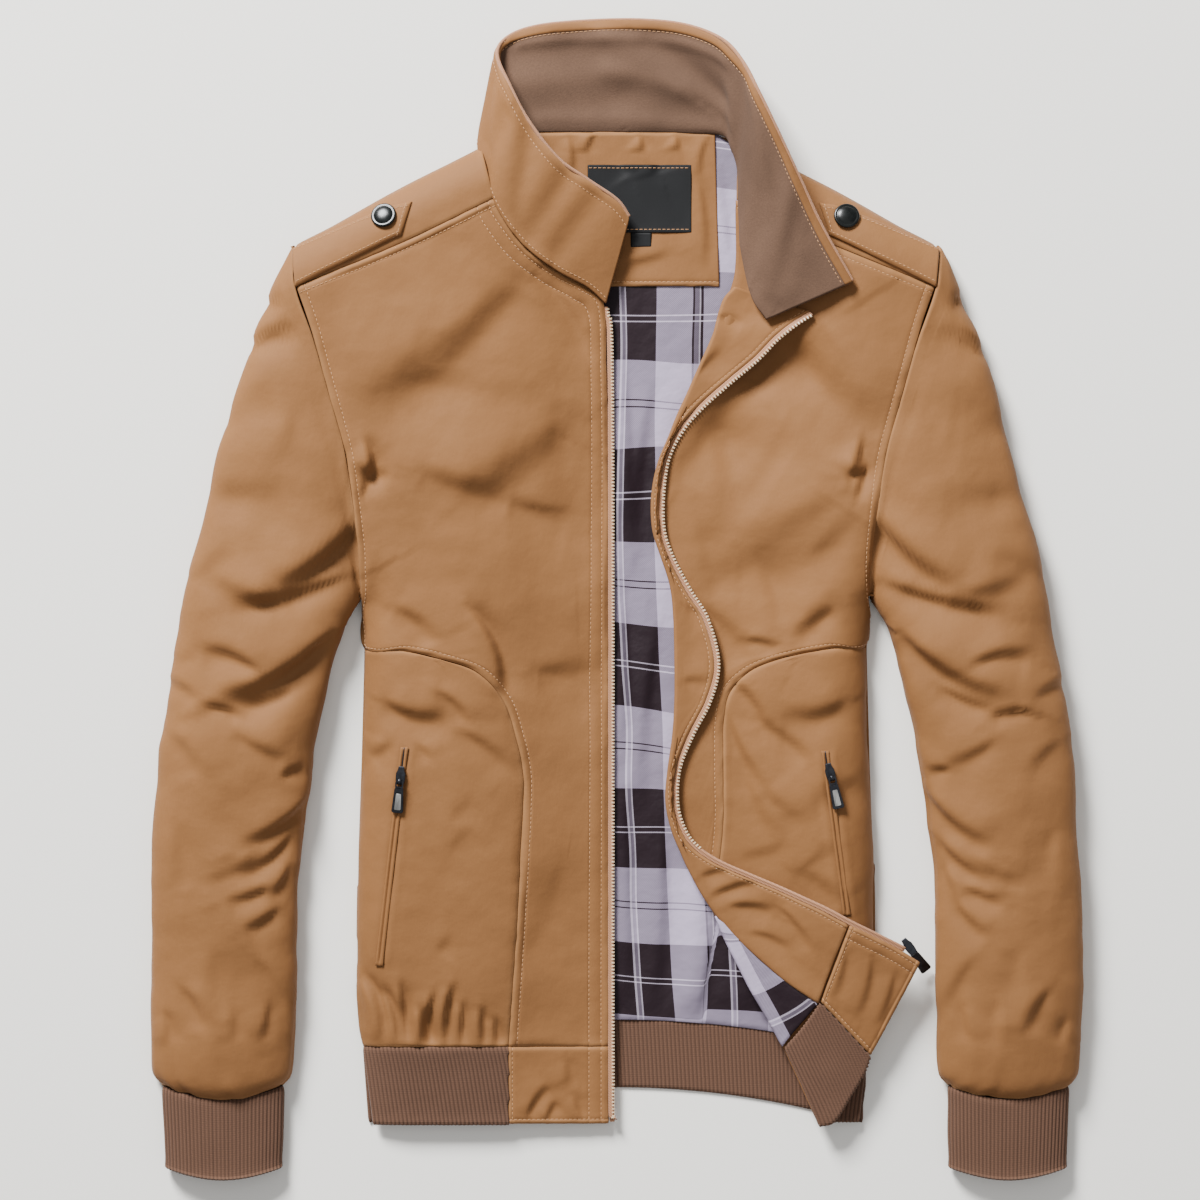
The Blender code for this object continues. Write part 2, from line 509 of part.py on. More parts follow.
def make_turned_edge():
    fold_line = [(row.fold_x, row.fold_y) for row in TURNED]
    teeth = [(row.zip_x, row.zip_y) for row in TURNED]
    cloth_edge = beside(teeth, -TAPE_INSIDE - 0.4)
    beneath_fold = fold_line[:FACING_MEETS_LINING] + [(66, -216), (74, -232), (84, -252), (96, -275), (108, -297)]
    beneath_zip = list(beside(teeth, -TAPE_INSIDE - 0.9)[:FACING_MEETS_LINING])
    beneath_zip += [(98, -200.5), (120, -210.5), (148, -225.0), (178, -240.0), (211, -259.5)]
    beneath_fold += [(120, -320.0), (145.5, -376.0)]
    beneath_zip += [(200.0, -288.0), (181.0, -327.5)]
    laid("left_front_turnback", rule(beneath_fold, beneath_zip, spread(7), 0.8, 0.0), turned_height, 0.0, SHELL,
         "shell_cloth")
    facing_lift, corner_lift = SHELL + ON_TURNED, SHELL + ON_CORNER
    laid("left_facing", rule(fold_line, cloth_edge, spread(4)), turned_height, facing_lift, FACING, "shell_cloth")
    corner = rule([(r.fold_x, r.fold_y) for r in CORNER_LINING], [(r.seam_x, r.seam_y) for r in CORNER_LINING],
                  spread(5), 0.0, 0.6)
    laid("left_front_lining", corner, turned_height, corner_lift, LINING, "check_lining")
    band = rule([(r.rib_x, r.rib_y) for r in HEM_BAND_LEFT], [(r.zip_x, r.zip_y) for r in HEM_BAND_LEFT],
                spread(7), 0.4, TAPE_INSIDE + 0.8)
    laid("left_hem_band", band, turned_height, corner_lift, CORNER, "shell_cloth")
    columns = int(45 / RIB_PITCH) * 2 + 1
    rows = [along(line, columns) for line in (RIB_LEFT_SEAM, RIB_LEFT_MIDDLE, RIB_LEFT_HEM)]
    laid("left_hem_rib", rows, turned_height, corner_lift, CORNER, "knit_rib", ribbed=True)
    edge = teeth + [(186.0, -239.0), (200.5, -246.3)]
    laid("left_zip_tape", rule(beside(edge, -TAPE_INSIDE), beside(edge, TAPE_OUTSIDE), spread(2)), turned_height,
         facing_lift, TAPE, "zip_tape")


# ---------------------------------------------------------------- sleeves


def tube_ring(row, around, thickness, ridge=0.0):
    """Outer and inner loop of one flattened sleeve section that rests on the floor."""
    outer_end, inner_end = np.array([row.outer_x, row.outer_y]), np.array([row.inner_x, row.inner_y])
    width = np.linalg.norm(inner_end - outer_end)
    armhole = along(ARMHOLE, 25)
    start, end = armhole[0], armhole[-1]

    def plan(u):
        straight = outer_end + (inner_end - outer_end) * u
        k = u * (len(armhole) - 1)
        low = min(int(k), len(armhole) - 2)
        on_curve = armhole[low] + (armhole[low + 1] - armhole[low]) * (k - low)
        bend = on_curve - (start + (end - start) * u)
        return straight + bend * row.armhole + np.array([0.0, -row.sag * math.sin(math.pi * u)])

    follow_body = max(0.0, (row.armhole - 0.8) / 0.2)
    outer, inner = [], []
    for k in range(around):
        angle = 2 * math.pi * k / around
        u = (1 - math.cos(angle)) / 2
        swing = abs(math.sin(angle))
        for loop, inset in ((outer, 0.0), (inner, thickness)):
            share = (inset + (width - 2 * inset) * u) / width
            x, y = plan(share)
            if angle <= math.pi:
                round_top = (row.height - row.side_z) * swing ** 0.85 - fold_depth(x, y, SLEEVE_FOLDS) * swing
                body_top = body_height(x, y) - row.side_z
                rise = round_top * (1 - follow_body) + max(body_top, 0.0) * follow_body
                z = row.side_z + max(rise - inset, 0.4 * swing)
            else:
                drop = row.side_z * swing ** 0.35
                z = row.side_z - max(drop - inset, 0.3 * swing)
            if ridge and loop is outer:
                z += ridge * (0.5 if k % 2 else -0.5) * (swing if angle < math.pi else 0.0)
                x += ridge * (0.5 if k % 2 else -0.5) * math.cos(angle) * -1.0
            loop.append(Vector((x, y, max(z, FLOOR))))
    return outer, inner


def make_sleeves():
    around = 20
    cuff_around = 60
    for side, sign in (("right", 1), ("left", -1)):
        for name, rows, count, thickness, ridge, finish in (
                ("sleeve", SLEEVE, around, SHELL, 0.0, "shell_cloth"),
                ("cuff", CUFF, cuff_around, RIB, RIB_DEPTH, "knit_rib")):
            rings = [tube_ring(row, count, thickness, ridge) for row in rows]
            outer = [[Vector((p.x * sign, p.y, p.z)) for p in ring[0]] for ring in rings]
            inner = [[Vector((p.x * sign, p.y, p.z)) for p in ring[1]] for ring in rings]
            wall(side + "_" + name, outer, inner, finish, tube=True)


# ---------------------------------------------------------------- collar


def make_collar():
    stations = 36
    across = 5
    neck = along([(r.neck_x, r.neck_y, r.neck_z) for r in COLLAR], stations)
    top = along([(r.top_x, r.top_y, r.top_z) for r in COLLAR], stations)
    bow = along([(k, r.bow) for k, r in enumerate(COLLAR)], stations)[:, 1]
    middle = []
    for k in range(stations):
        middle.append([Vector(neck[k] + (top[k] - neck[k]) * t) + Vector((0, 0, bow[k] * math.sin(math.pi * t)))
                       for t in np.linspace(0, 1, across)])
    normals = []
    for k in range(stations):
        row = []
        for j in range(across):
            round_neck = middle[min(k + 1, stations - 1)][j] - middle[max(k - 1, 0)][j]
            up = middle[k][min(j + 1, across - 1)] - middle[k][max(j - 1, 0)]
            row.append(up.cross(round_neck).normalized())
        normals.append(row)

    def layer(distance):
        return [[middle[k][j] + normals[k][j] * distance for j in range(across)] for k in range(stations)]

    wall("collar_shell", layer(0.2 + SHELL), layer(0.2), "shell_cloth")
    wall("collar_lining", layer(-0.2), layer(-0.2 - FLEECE), "brushed_fleece")


# ---------------------------------------------------------------- epaulettes, snaps, pockets, zip

EPAULETTE_RIDGE = [(-230.6, 250.8), (-206.0, 261.5), (-180.0, 272.8), (-154.0, 282.6), (-146.0, 283.6)]
EPAULETTE_LOW = [(-228.4, 223.4), (-207.5, 234.0), (-187.0, 244.0), (-163.0, 256.0), (-153.4, 260.4)]
SNAP = (-165.2, 273.0)
SNAP_PROFILE = table("radius z", (9.2, 0.0), (9.2, 1.3), (8.3, 2.0), (6.9, 2.0), (6.2, 1.5), (5.4, 2.3), (3.0, 3.1))
EPAULETTE = 2.0


def frame_at(height, x, y, lift, toward):
    """Local axes on the cloth: Z out of it and Y along toward."""
    normal = normal_at(height, x, y)
    direction = Vector((toward[0], toward[1], 0.0))
    along_cloth = (direction - normal * direction.dot(normal)).normalized()
    side = along_cloth.cross(normal)
    origin = Vector((x, y, height(x, y))) + normal * lift
    axes = Matrix((side, along_cloth, normal)).transposed().to_4x4()
    return Matrix.Translation(origin * MM) @ axes


def turned(name, profile, finish, sides=16):
    """A solid of revolution about its own Z."""
    vertices, faces = [(0, 0, profile[0].z)], []
    for row in profile:
        vertices += [(row.radius * math.cos(2 * math.pi * k / sides), row.radius * math.sin(2 * math.pi * k / sides),
                      row.z) for k in range(sides)]
    vertices.append((0, 0, profile[-1].z + 0.15))
    last = len(vertices) - 1
    for k in range(sides):
        n = (k + 1) % sides
        faces.append([0, 1 + n, 1 + k])
        for ring in range(len(profile) - 1):
            a = 1 + ring * sides
            faces.append([a + k, a + n, a + sides + n, a + sides + k])
        faces.append([last - sides + k, last - sides + n, last])
    return add_object(name, vertices, faces, finish)


def plate_cells(xs, ys, hollow, z_low, z_high, open_top=()):
    """Points and faces of a flat plate of cells between xs and ys, without the hollow cells."""
    vertices, faces, index = [], [], {}

    def vertex(i, j, z):
        if (i, j, z) not in index:
            index[(i, j, z)] = len(vertices)
            vertices.append((xs[i], ys[j], z))
        return index[(i, j, z)]

    solid = [(i, j) for i in range(len(xs) - 1) for j in range(len(ys) - 1) if (i, j) not in hollow]
    for i, j in solid:
        corners = [(i, j), (i + 1, j), (i + 1, j + 1), (i, j + 1)]
        if (i, j) not in open_top:
            faces.append([vertex(*c, z_high) for c in corners])
        faces.append([vertex(*c, z_low) for c in reversed(corners)])
        for k, (di, dj) in enumerate(((0, -1), (1, 0), (0, 1), (-1, 0))):
            if (i + di, j + dj) not in solid:
                a, b = corners[k], corners[(k + 1) % 4]
                faces.append([vertex(*a, z_low), vertex(*b, z_low), vertex(*b, z_high), vertex(*a, z_high)])
    return vertices, faces


SLIDER_HALF_WIDTH = 3.3
SLIDER_BACK = 10.5          # from the pull's axis to the slider's far end
SLIDER_NOSE = 2.4
SLIDER_HEIGHT = 2.6
AXIS_RISE = 1.5             # the pull's axis above the slider's top
BAIL_INNER, BAIL_OUTER, BAIL_HALF_WIDTH = 1.25, 2.15, 1.1
PULL_HALF_WIDTH, PULL_LENGTH, PULL_HALF_THICKNESS = 4.2, 23.0, 0.6
PULL_BAR = 0.6
PULL_WINDOW_END = 3.9


def make_slider(name, place):
    """A slider with its bail, one solid; the pull's axis is the local X over its top, and the pull points to -Y."""
    w, half = SLIDER_HALF_WIDTH, BAIL_HALF_WIDTH
    xs = [-w, -half, half, w]
    ys = [-SLIDER_NOSE, -BAIL_OUTER, -BAIL_INNER, BAIL_INNER, BAIL_OUTER, SLIDER_BACK - 2.5, SLIDER_BACK]
    vertices, faces = plate_cells(xs, ys, [(0, 5), (2, 5)], 0.0, SLIDER_HEIGHT, open_top=[(1, 1), (1, 3)])
    centre = SLIDER_HEIGHT + AXIS_RISE

    def section(outer, inner):
        first = len(vertices)
        vertices.extend([(-half, *outer), (half, *outer), (half, *inner), (-half, *inner)])
        return list(range(first, first + 4))

    def corners(outer_y, inner_y):
        return [vertices.index((x, y, SLIDER_HEIGHT)) for x, y in
                ((-half, outer_y), (half, outer_y), (half, inner_y), (-half, inner_y))]

    sections = [corners(BAIL_OUTER, BAIL_INNER)]
    for angle in np.linspace(0, math.pi, 7):
        cos, sin = math.cos(angle), math.sin(angle)
        sections.append(section((BAIL_OUTER * cos, centre + BAIL_OUTER * sin),
                                (BAIL_INNER * cos, centre + BAIL_INNER * sin)))
    sections.append(corners(-BAIL_OUTER, -BAIL_INNER))
    for before, after in zip(sections, sections[1:]):
        for k in range(4):
            n = (k + 1) % 4
            faces.append([before[k], before[n], after[n], after[k]])
    body = add_object(name, vertices, faces, "zip_metal", smooth=False)
    body.matrix_world = place
    return body


def make_pull(name, place, tilt):
    """A pull tab with a window round the bail; its origin is on its hinge axis."""
    w = PULL_HALF_WIDTH
    vertices, faces = plate_cells([-w, -2.2, 2.2, w], [-PULL_LENGTH, -PULL_WINDOW_END, -PULL_BAR, PULL_BAR],
                                  [(1, 1)], -PULL_HALF_THICKNESS, PULL_HALF_THICKNESS)
    tab = add_object(name, vertices, faces, "zip_metal", smooth=False)
    hinge = Matrix.Translation((0, 0, (SLIDER_HEIGHT + AXIS_RISE) * MM))
    tab.matrix_world = place @ hinge @ Matrix.Rotation(math.radians(tilt), 4, "X")
    return tab


POCKETS = table(
    "side tape_from tape_to slider_x slider_y toward_x toward_y",
    ("right", (-150.9, -106.0), (-169.0, -262.0), -153.6, -130.0, 0.10, 1.0),
    ("left", (149.6, -108.7), (165.4, -226.1), 153.6, -127.5, -0.25, 1.0),
)
TAPE_HALF_WIDTH = 2.6
PULL_TILT = 8.0
FRONT_SLIDER = (212.2, -251.8)
FRONT_SLIDER_BACK = (-0.60, 0.80)
FRONT_SLIDER_TOP = 3.4
FRONT_PULL_TILT = 33.0


def make_details():
    for side, sign in (("right", 1), ("left", -1)):
        ridge = [(x * sign, y) for x, y in EPAULETTE_RIDGE]
        low = [(x * sign, y) for x, y in EPAULETTE_LOW]
        laid(side + "_epaulette", rule(along(ridge, 10), along(low, 10), spread(5)), body_height, 0.4, EPAULETTE,
             "shell_cloth")
        snap = turned(side + "_snap", SNAP_PROFILE, "snap_black")
        snap.matrix_world = frame_at(body_height, SNAP[0] * sign, SNAP[1], EPAULETTE + 1.1, (0, 1))
    for pocket in POCKETS:
        start, end = np.array(pocket.tape_from), np.array(pocket.tape_to)
        line = [start + (end - start) * t for t in np.linspace(0, 1, 9)]
        inner = [p - (TAPE_HALF_WIDTH, 0) for p in line]
        outer = [p + (TAPE_HALF_WIDTH, 0) for p in line]
        laid(pocket.side + "_pocket_tape", rule(inner, outer, spread(3)), body_height, SEAM, TAPE, "zip_tape")
        place = frame_at(body_height, pocket.slider_x, pocket.slider_y, SEAM + TAPE + 0.5,
                         (pocket.toward_x, pocket.toward_y))
        make_slider(pocket.side + "_pocket_slider", place)
        make_pull(pocket.side + "_pocket_pull", place, PULL_TILT)
    level = turned_height(*FRONT_SLIDER) + FRONT_SLIDER_TOP
    back = Vector((*FRONT_SLIDER_BACK, 0)).normalized()
    down = Vector((0, 0, -1))
    axes = Matrix((back.cross(down), back, down)).transposed().to_4x4()
    place = Matrix.Translation(Vector((*FRONT_SLIDER, level)) * MM) @ axes
    make_slider("front_slider", place)
    make_pull("front_pull", place, -FRONT_PULL_TILT)


def main():
    for old in list(bpy.data.objects):
        bpy.data.objects.remove(old)
    make_back()
    make_right_front()
    make_left_front()
    make_turned_edge()
    make_sleeves()
    make_collar()
    make_details()


main()
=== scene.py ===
"""The looks of a zipped bomber jacket that lies flat on its back with its left front turned open.

Tables and lengths are millimetres unless a name ends otherwise: +X is the viewer's right, +Y runs to the
collar and +Z is up from the floor. Right and left in the names are the wearer's, so the right front is at -X.
"""

import math
from collections import namedtuple

import bpy
import numpy as np
from bpy.props import FloatProperty, FloatVectorProperty, PointerProperty
from mathutils import Matrix, Vector


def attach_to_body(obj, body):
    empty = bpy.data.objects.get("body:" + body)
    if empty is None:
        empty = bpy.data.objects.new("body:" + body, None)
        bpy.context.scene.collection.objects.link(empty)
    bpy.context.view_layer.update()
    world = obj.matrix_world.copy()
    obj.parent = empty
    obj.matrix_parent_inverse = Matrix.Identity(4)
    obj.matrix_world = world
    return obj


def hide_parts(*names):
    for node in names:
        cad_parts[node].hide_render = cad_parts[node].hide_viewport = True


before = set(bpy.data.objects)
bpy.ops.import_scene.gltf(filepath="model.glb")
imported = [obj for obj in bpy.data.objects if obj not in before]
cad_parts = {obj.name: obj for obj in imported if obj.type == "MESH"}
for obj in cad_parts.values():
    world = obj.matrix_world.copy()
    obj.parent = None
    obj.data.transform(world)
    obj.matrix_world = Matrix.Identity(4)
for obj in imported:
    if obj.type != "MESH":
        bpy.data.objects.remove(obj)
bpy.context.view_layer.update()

bl_info = {
    "name": "Bomber jacket",
    "version": (1, 0, 0),
    "blender": (4, 5, 0),
    "location": "View3D > Sidebar > Jacket",
    "description": "Builds the cloth, knit, zips and studs of a bomber jacket laid flat",
    "category": "Add Mesh",
}

MM = 0.001
JACKET = "jacket"                   # the body that all the cloth rides on
SHELL, RIB, LINING, FLEECE = 1.6, 2.4, 1.2, 2.0         # thicknesses
FACING, CORNER, TAPE, LABEL, TAG, EPAULETTE, BINDING = 1.4, 2.0, 1.1, 0.8, 0.7, 2.0, 0.9
SEAM = 0.35                         # room between two pieces that are sewn together
LAP = 0.7                           # how far a seam's upper cloth lies over the lower one
SIDE_EDGE_Z, OPEN_EDGE_Z = 2.7, 8.6                     # heights of the body's rolled sides and its open edge
SIDE_ROUND, RIDGE_ROUND, OPEN_RISE = 34.0, 28.0, 110.0  # how far in from each of these edges the body is full
TAPE_INSIDE, TAPE_OUTSIDE = 2.7, 1.5                    # the zip tape's reach on both sides of the zip line
TURN_CLEARANCE, FOLD_CLEARANCE = 1.8, 0.35              # room beneath the turned-out cloth, and at its fold
ON_TURNED, ON_CORNER = 0.9, 1.5                         # what lies between the turned-out layers
FOLD_RISE = 2.0                     # how far the turned-out cloth stands up along its fold
HEM_SEAM_Y, RIB_TOP_Y, HEM_Y = -321.1, -321.6, -376.6
NECK_Y, SHOULDER_CORNER_Y = 335.4, 254.2
LINING_INSET = 16.0                 # from the body's side to the lining's


def table(columns, *rows):
    """A short table: one namedtuple for each row."""
    row_type = namedtuple("Row", columns)
    return [row_type(*row) for row in rows]


# ---- the jacket's lines

CREST = table(
    "y z",
    (-380, 11), (-350, 12.5), (-321, 15), (-290, 21), (-240, 24), (-100, 25.5), (60, 26.5), (200, 25),
    (330, 22),
)
BACK = table(
    "y half_width rise",
    (-321.1, 181.8, 19), (-250, 185.6, 8), (-180, 184.7, 0), (-116, 182.5, 0), (-37, 180.4, 0),
    (2.9, 181.4, 0), (38.9, 183.6, 0), (71.3, 187.2, 0), (107.3, 192.9, 0), (143.3, 203, 0),
    (186.5, 215.2, 0), (223.9, 228.2, 0), (254.2, 231, 0), (265.7, 208.4, 0), (295.9, 154.4, 0),
    (323, 99.7, 11.8),
)
RIDGE = [(-60, 345), (-99.7, 323.3), (-154.4, 295.9), (-180.4, 280.8), (-208.4, 265.7), (-231.5, 254.2),
         (-262, 238)]
SHOULDER = [(-97, 324.4), (-154.4, 295.9), (-208.4, 265.7), (-230.4, 254.8)]
YOKE_SEAM = [(-87, 287), (-153.7, 254.6), (-228, 223.9)]
ARMHOLE = [(-231.5, 254.2), (-228.6, 223.9), (-215.6, 186.5), (-203.4, 143.3), (-193.3, 107.3),
           (-187.6, 71.3), (-184, 38.9), (-181.8, 2.9)]
SIDE_LIMIT = [(-300, 230), (-275, 140), (-235, 75), (-200, 30), (-183, -5), (-180.4, -37), (-182.5, -116),
              (-184.7, -181), (-186, -289), (-182, -321), (-180, -400)]
RIGHT_OPEN_EDGE = [(9, 274), (-6.1, 207.4), (-2.5, 143.3), (-2.2, -321), (-1.2, -378)]
ZIP_LINE_RIGHT = [(-6, 209.5), (-2.5, 143.3), (-2.2, -321), (-1.2, -375)]
LEFT_FOLD = [(84, 331), (88, 270), (84, 228), (78.1, 216.7), (69.5, 185), (57.2, 158.4), (44, 126),
             (33, 98), (29.5, 72), (30.5, 45), (38.5, 22), (42.8, -0.7), (44.3, -43.9), (44, -87.1),
             (41, -123.1), (39.5, -146), (44, -166), (52, -186), (60.8, -203), (68.5, -219.6), (77.4, -238),
             (87.5, -259.2), (97.6, -279.4), (109.1, -298.8), (120.6, -320.4), (137.2, -353.5),
             (147.2, -378)]
PANEL_SEAM_RIGHT = [(-180.4, -35.7), (-160, -36.4), (-142.9, -38.2), (-121.3, -43.9), (-104.8, -49),
                    (-92.5, -57.6), (-81, -71.3), (-74.5, -86.4), (-67.3, -116.6), (-65.2, -137.5),
                    (-67.3, -170), (-70.2, -232.6), (-76.7, -321.1)]
PANEL_SEAM_LEFT = [(180.4, -33.5), (162, -34.5), (147.2, -36), (127.8, -40.3), (108.4, -45.4), (94, -53),
                   (83.9, -62), (77.5, -84), (76.7, -120), (76.7, -164), (70.5, -219)]
RIGHT_INNER = [(-87, 286.2), (-82.5, 275.5), (-65, 252.6), (-42, 235.3), (-20.4, 223.8), (-8.5, 212),
               (-6.6, 165), (-5.6, 120)]
RIGHT_SIDE = [(-180.2, -39), (-180.2, -54.4), (-180.2, -69.8), (-180.2, -85.2), (-180.2, -100.6),
              (-180.2, -116), (-182.4, -135), (-184, -165), (-185.2, -200), (-185.8, -245), (-185.2, -290),
              (-181.6, HEM_SEAM_Y)]
LEFT_SIDE = [(180.2, -36), (180.2, -52), (180.2, -68), (180.2, -84), (180.2, -100), (182.4, -125),
             (183.8, -150), (184.8, -180), (185.6, -205), (185.8, -230), (185.8, -255), (185.6, -280),
             (184, -300), (181.6, HEM_SEAM_Y)]
LEFT_INNER = [(92.6, 284.4), (90.5, 262), (87, 238), (82, 219), (71, 185), (57.5, 156), (43.5, 122),
              (31.8, 82)]
LEFT_INNER_LOWER = [(32, 45), (43.3, -0.7), (44.8, -43.9), (44.5, -87.1), (41.5, -123.1), (40.2, -146),
                    (45, -166), (52.6, -186), (60.8, -201), (67.5, -216)]

# The turned-out edge of the left front: its fold and its zip side, from the neck to the hem corner.
TURNED = table(
    "fold_x fold_y zip_x zip_y",
    (87.5, 223, 141, 202.5), (78.6, 212.5, 119, 187.5), (72, 190, 101.5, 170.2), (62.5, 168, 82, 154),
    (52, 144.5, 62, 136), (40.5, 120, 48.6, 120.6), (32, 100, 38.5, 101), (27.5, 76, 34.6, 76),
    (27.7, 51, 34.8, 50.5), (34, 30, 41.2, 30.5), (41, 8, 54, 6.5), (43.6, -15, 66.5, -14.5),
    (44.3, -45, 74.2, -46), (44.3, -72, 68.5, -72.5), (42.6, -98, 55.5, -98.5), (38.8, -123, 46, -122.5),
    (37.5, -146, 44.6, -146.5), (41.5, -165, 48.8, -162.5), (48.5, -182, 57, -175.3), (55, -196, 74, -187),
    (64, -212, 97, -197), (79, -231.8, 121, -206.8), (100.4, -252, 137, -214), (120, -269, 152, -221),
    (146, -287, 167.5, -229.6),
)
FACING_MEETS_LINING = 20
CORNER_LINING = table(
    "fold_x fold_y seam_x seam_y",
    (73, -229, 79, -232.5), (80.5, -245, 90, -242.5), (88.5, -260.5, 100, -252.4),
    (98.6, -280, 119.6, -269.4), (110, -299.3, 133.5, -279.4), (121, -318.8, 145.6, -288.2),
)
HEM_BAND_LEFT = table(
    "rib_x rib_y zip_x zip_y",
    (147.6, -287.8, 168.6, -230.2), (159, -300.5, 186, -239), (171, -313.8, 203, -247.9),
    (182.5, -326.4, 219, -257.6),
)
RIB_LEFT = [[(122.2, -321.5), (132.4, -310.2), (147.0, -289.3)],
            [(136.0, -352.0), (151.0, -333.0), (164.5, -308.0)],
            [(146.5, -377.6), (157.0, -374.0), (167.0, -358.0), (178.0, -339.1), (182.0, -327.6)]]
CORNER_DARK_BAND = (46.0, 8.0)      # the turned-out dark band's start, along the fold and in from it
SLEEVE = table(
    "outer_x outer_y inner_x inner_y height side_z armhole sag",
    (-232.2, 254.4, -182.6, 2.5, 26, 4.2, 1, 0), (-243, 231, -183.6, -0.5, 28, 6.5, 0.85, 0),
    (-255.5, 195, -185.4, -3.5, 31, 9, 0.65, 0), (-268.5, 156, -187.6, -7, 34, 11, 0.45, 0),
    (-283.2, 110, -190.2, -11.5, 36, 12, 0.27, 0), (-296, 60, -194.5, -19, 37, 12.5, 0.12, 0),
    (-306, 16, -200, -37, 37, 12.5, 0.03, 0), (-314.5, -28, -206.3, -62, 36, 12.5, 0, 0),
    (-321.5, -70, -212.6, -90, 36, 12.5, 0, 0), (-327, -114, -217.8, -124, 35, 12, 0, 0),
    (-330.6, -165, -223.6, -165, 34, 12, 0, 0), (-333.2, -213, -229, -213, 33, 11.5, 0, 0),
    (-334.3, -262, -229.6, -262, 32, 11, 0, 2), (-334.4, -306, -230, -306, 30, 10.5, 0, 5),
    (-333.2, -338, -231.4, -338, 26, 9.5, 0, 8), (-326, -349.6, -238.2, -349.6, 19.5, 8.5, 0, 8.4),
)
CUFF = table(
    "outer_x outer_y inner_x inner_y height side_z armhole sag",
    (-325.6, -350.2, -238.4, -350.2, 19.5, 8.5, 0, 8.4), (-323, -407.6, -239.6, -407.6, 18.5, 8, 0, 7.8),
)
COLLAR = table(
    "neck_x neck_y neck_z top_x top_y top_z bow",
    (-7.3, 212.6, 12, 9.5, 273.5, 15, 0.5), (-20.2, 224, 14.5, 0.6, 285.4, 17.5, 1.5),
    (-41.8, 235.5, 17.5, -20.5, 299.6, 21, 2), (-64.8, 252.9, 20, -42.1, 315, 23.5, 2.5),
    (-82.8, 276.4, 20.5, -63, 342, 24, 2.5), (-90, 295.4, 18.5, -76, 367, 21.5, 1.5),
    (-97.3, 324.6, 3.4, -85, 390, 13, 0), (-90, 334.6, 2.8, -77.5, 403.5, 5, 0),
    (-56.5, 335.9, 2.3, -56.5, 411.2, 5.5, 0), (-20, 336, 2.3, -20.5, 414.8, 6, 0),
    (20, 336, 2.3, 20, 415.3, 7, 0), (53, 335.2, 2.6, 52, 410.8, 12, 0), (78, 333.2, 4.2, 77, 399, 23, 0),
    (86, 319, 7.4, 91, 381.5, 34, 1), (88.3, 299, 10, 101, 361, 41.5, 2),
    (89.5, 270, 11.5, 114, 334, 42.5, 3), (91.5, 243, 15.5, 129, 302, 39, 3),
    (97.6, 216.5, 19.5, 147, 264, 35, 2), (108, 200.5, 22, 168.3, 226.6, 31, 1),
)
EPAULETTE_RIDGE = [(-230.6, 250.8), (-206, 261.5), (-180, 272.8), (-154, 282.6), (-146, 283.6)]
EPAULETTE_LOW = [(-228.4, 223.4), (-207.5, 234), (-187, 244), (-163, 256), (-153.4, 260.4)]
SNAP = (-165.2, 273.0)
POCKETS = table(
    "side tape_from tape_to slider_x slider_y toward_x toward_y",
    ("right", (-150.9, -106.0), (-169.0, -262.0), -153.6, -130.0, 0.10, 1.0),
    ("left", (149.6, -108.7), (165.4, -226.1), 153.6, -127.5, -0.25, 1.0),
)

# ---- creases, placed one by one
# A soft trough along each line, bowed sideways by bend; lip is the height of the bulge on its upper side.

FOLD_COLUMNS = "x0 y0 x1 y1 bend depth width lip"
RIGHT_FOLDS = table(
    FOLD_COLUMNS,
    (-66, 222, -178, 118, 8, 4.5, 21, 2.4), (-28, 120, -128, 44, 6, 2.4, 22, 1.8),
    (-150, 150, -60, 128, 6, 1.4, 17, 1.2), (-61, 242, -21, 176, 4, 1.7, 5, 0.9),
    (-49, 235, -15, 198, 3, 1.2, 4, 0.6), (-139, 88, -75, 68, -4, 2.6, 12, 1),
    (-75, 68, -33, 52, -2, 2, 10, 0.7), (-159, -9, -132, -35, 3, 2.6, 8, 1),
    (-103, -5, -77, -71, 9, 3.2, 5.5, 1.6), (-167, -76, -118, -88, -6, 3.2, 8, 1.5),
    (-128, -68, -108, -89, 2, 1.8, 5, 0.9), (-113, -96, -77, -126, 3, 1.7, 6, 0.8),
    (-55, -55, -15, -58, 0, 2, 11, 0.6), (-177, 114, -173, 86, 3, 2.6, 4, 1.4),
    (-183, 93, -163, 87, -2, 2.4, 4, 1.4), (-180, 71, -166, 104, 2, 2.2, 4, 1.2),
    (-134, 194, -152, 143, 2, 0.9, 12, 0.4), (-40, 143, -29, 28, 2, 1.1, 14, 0.5),
    (-170, 28, -175, -30, 1, 1.3, 8, 0.6), (-116, -159, -98, -145, 0, 0.9, 7, 0.4),
    (-116, -181, -101, -166, 0, 0.9, 7, 0.4), (-126, -253, -116, -248, 1, 0.8, 5, 0.5),
    (-142, -105, -134, -116, 0, 1.1, 4, 0.6), (-161, -102, -175, -116, 2, 1.3, 5, 0.7),
    (-36, -190, -60, -262, 3, 0.8, 12, 0.3), (-118, 10, -150, 62, 3, 0.8, 13, 0.4),
    # gathers over the hem rib
    (-180, -270, -165, -318, 5, 3.5, 4.2, 2.2), (-166, -280, -154, -318, 3, 3, 3.6, 2),
    (-153, -276, -148, -319, 1, 2.7, 3.6, 1.8), (-139, -292, -136, -320, 1, 3, 4, 2),
    (-129, -283, -131, -320, -3, 2.7, 3.4, 1.8), (-116, -278, -119, -320, -2, 2.7, 3.6, 2),
    (-109, -290, -109, -320, 0, 2.2, 3, 1.5), (-95, -294, -93, -320, 0, 2.3, 3.4, 1.5),
    (-86, -301, -83, -320, 0, 1.9, 3, 1.4),
)
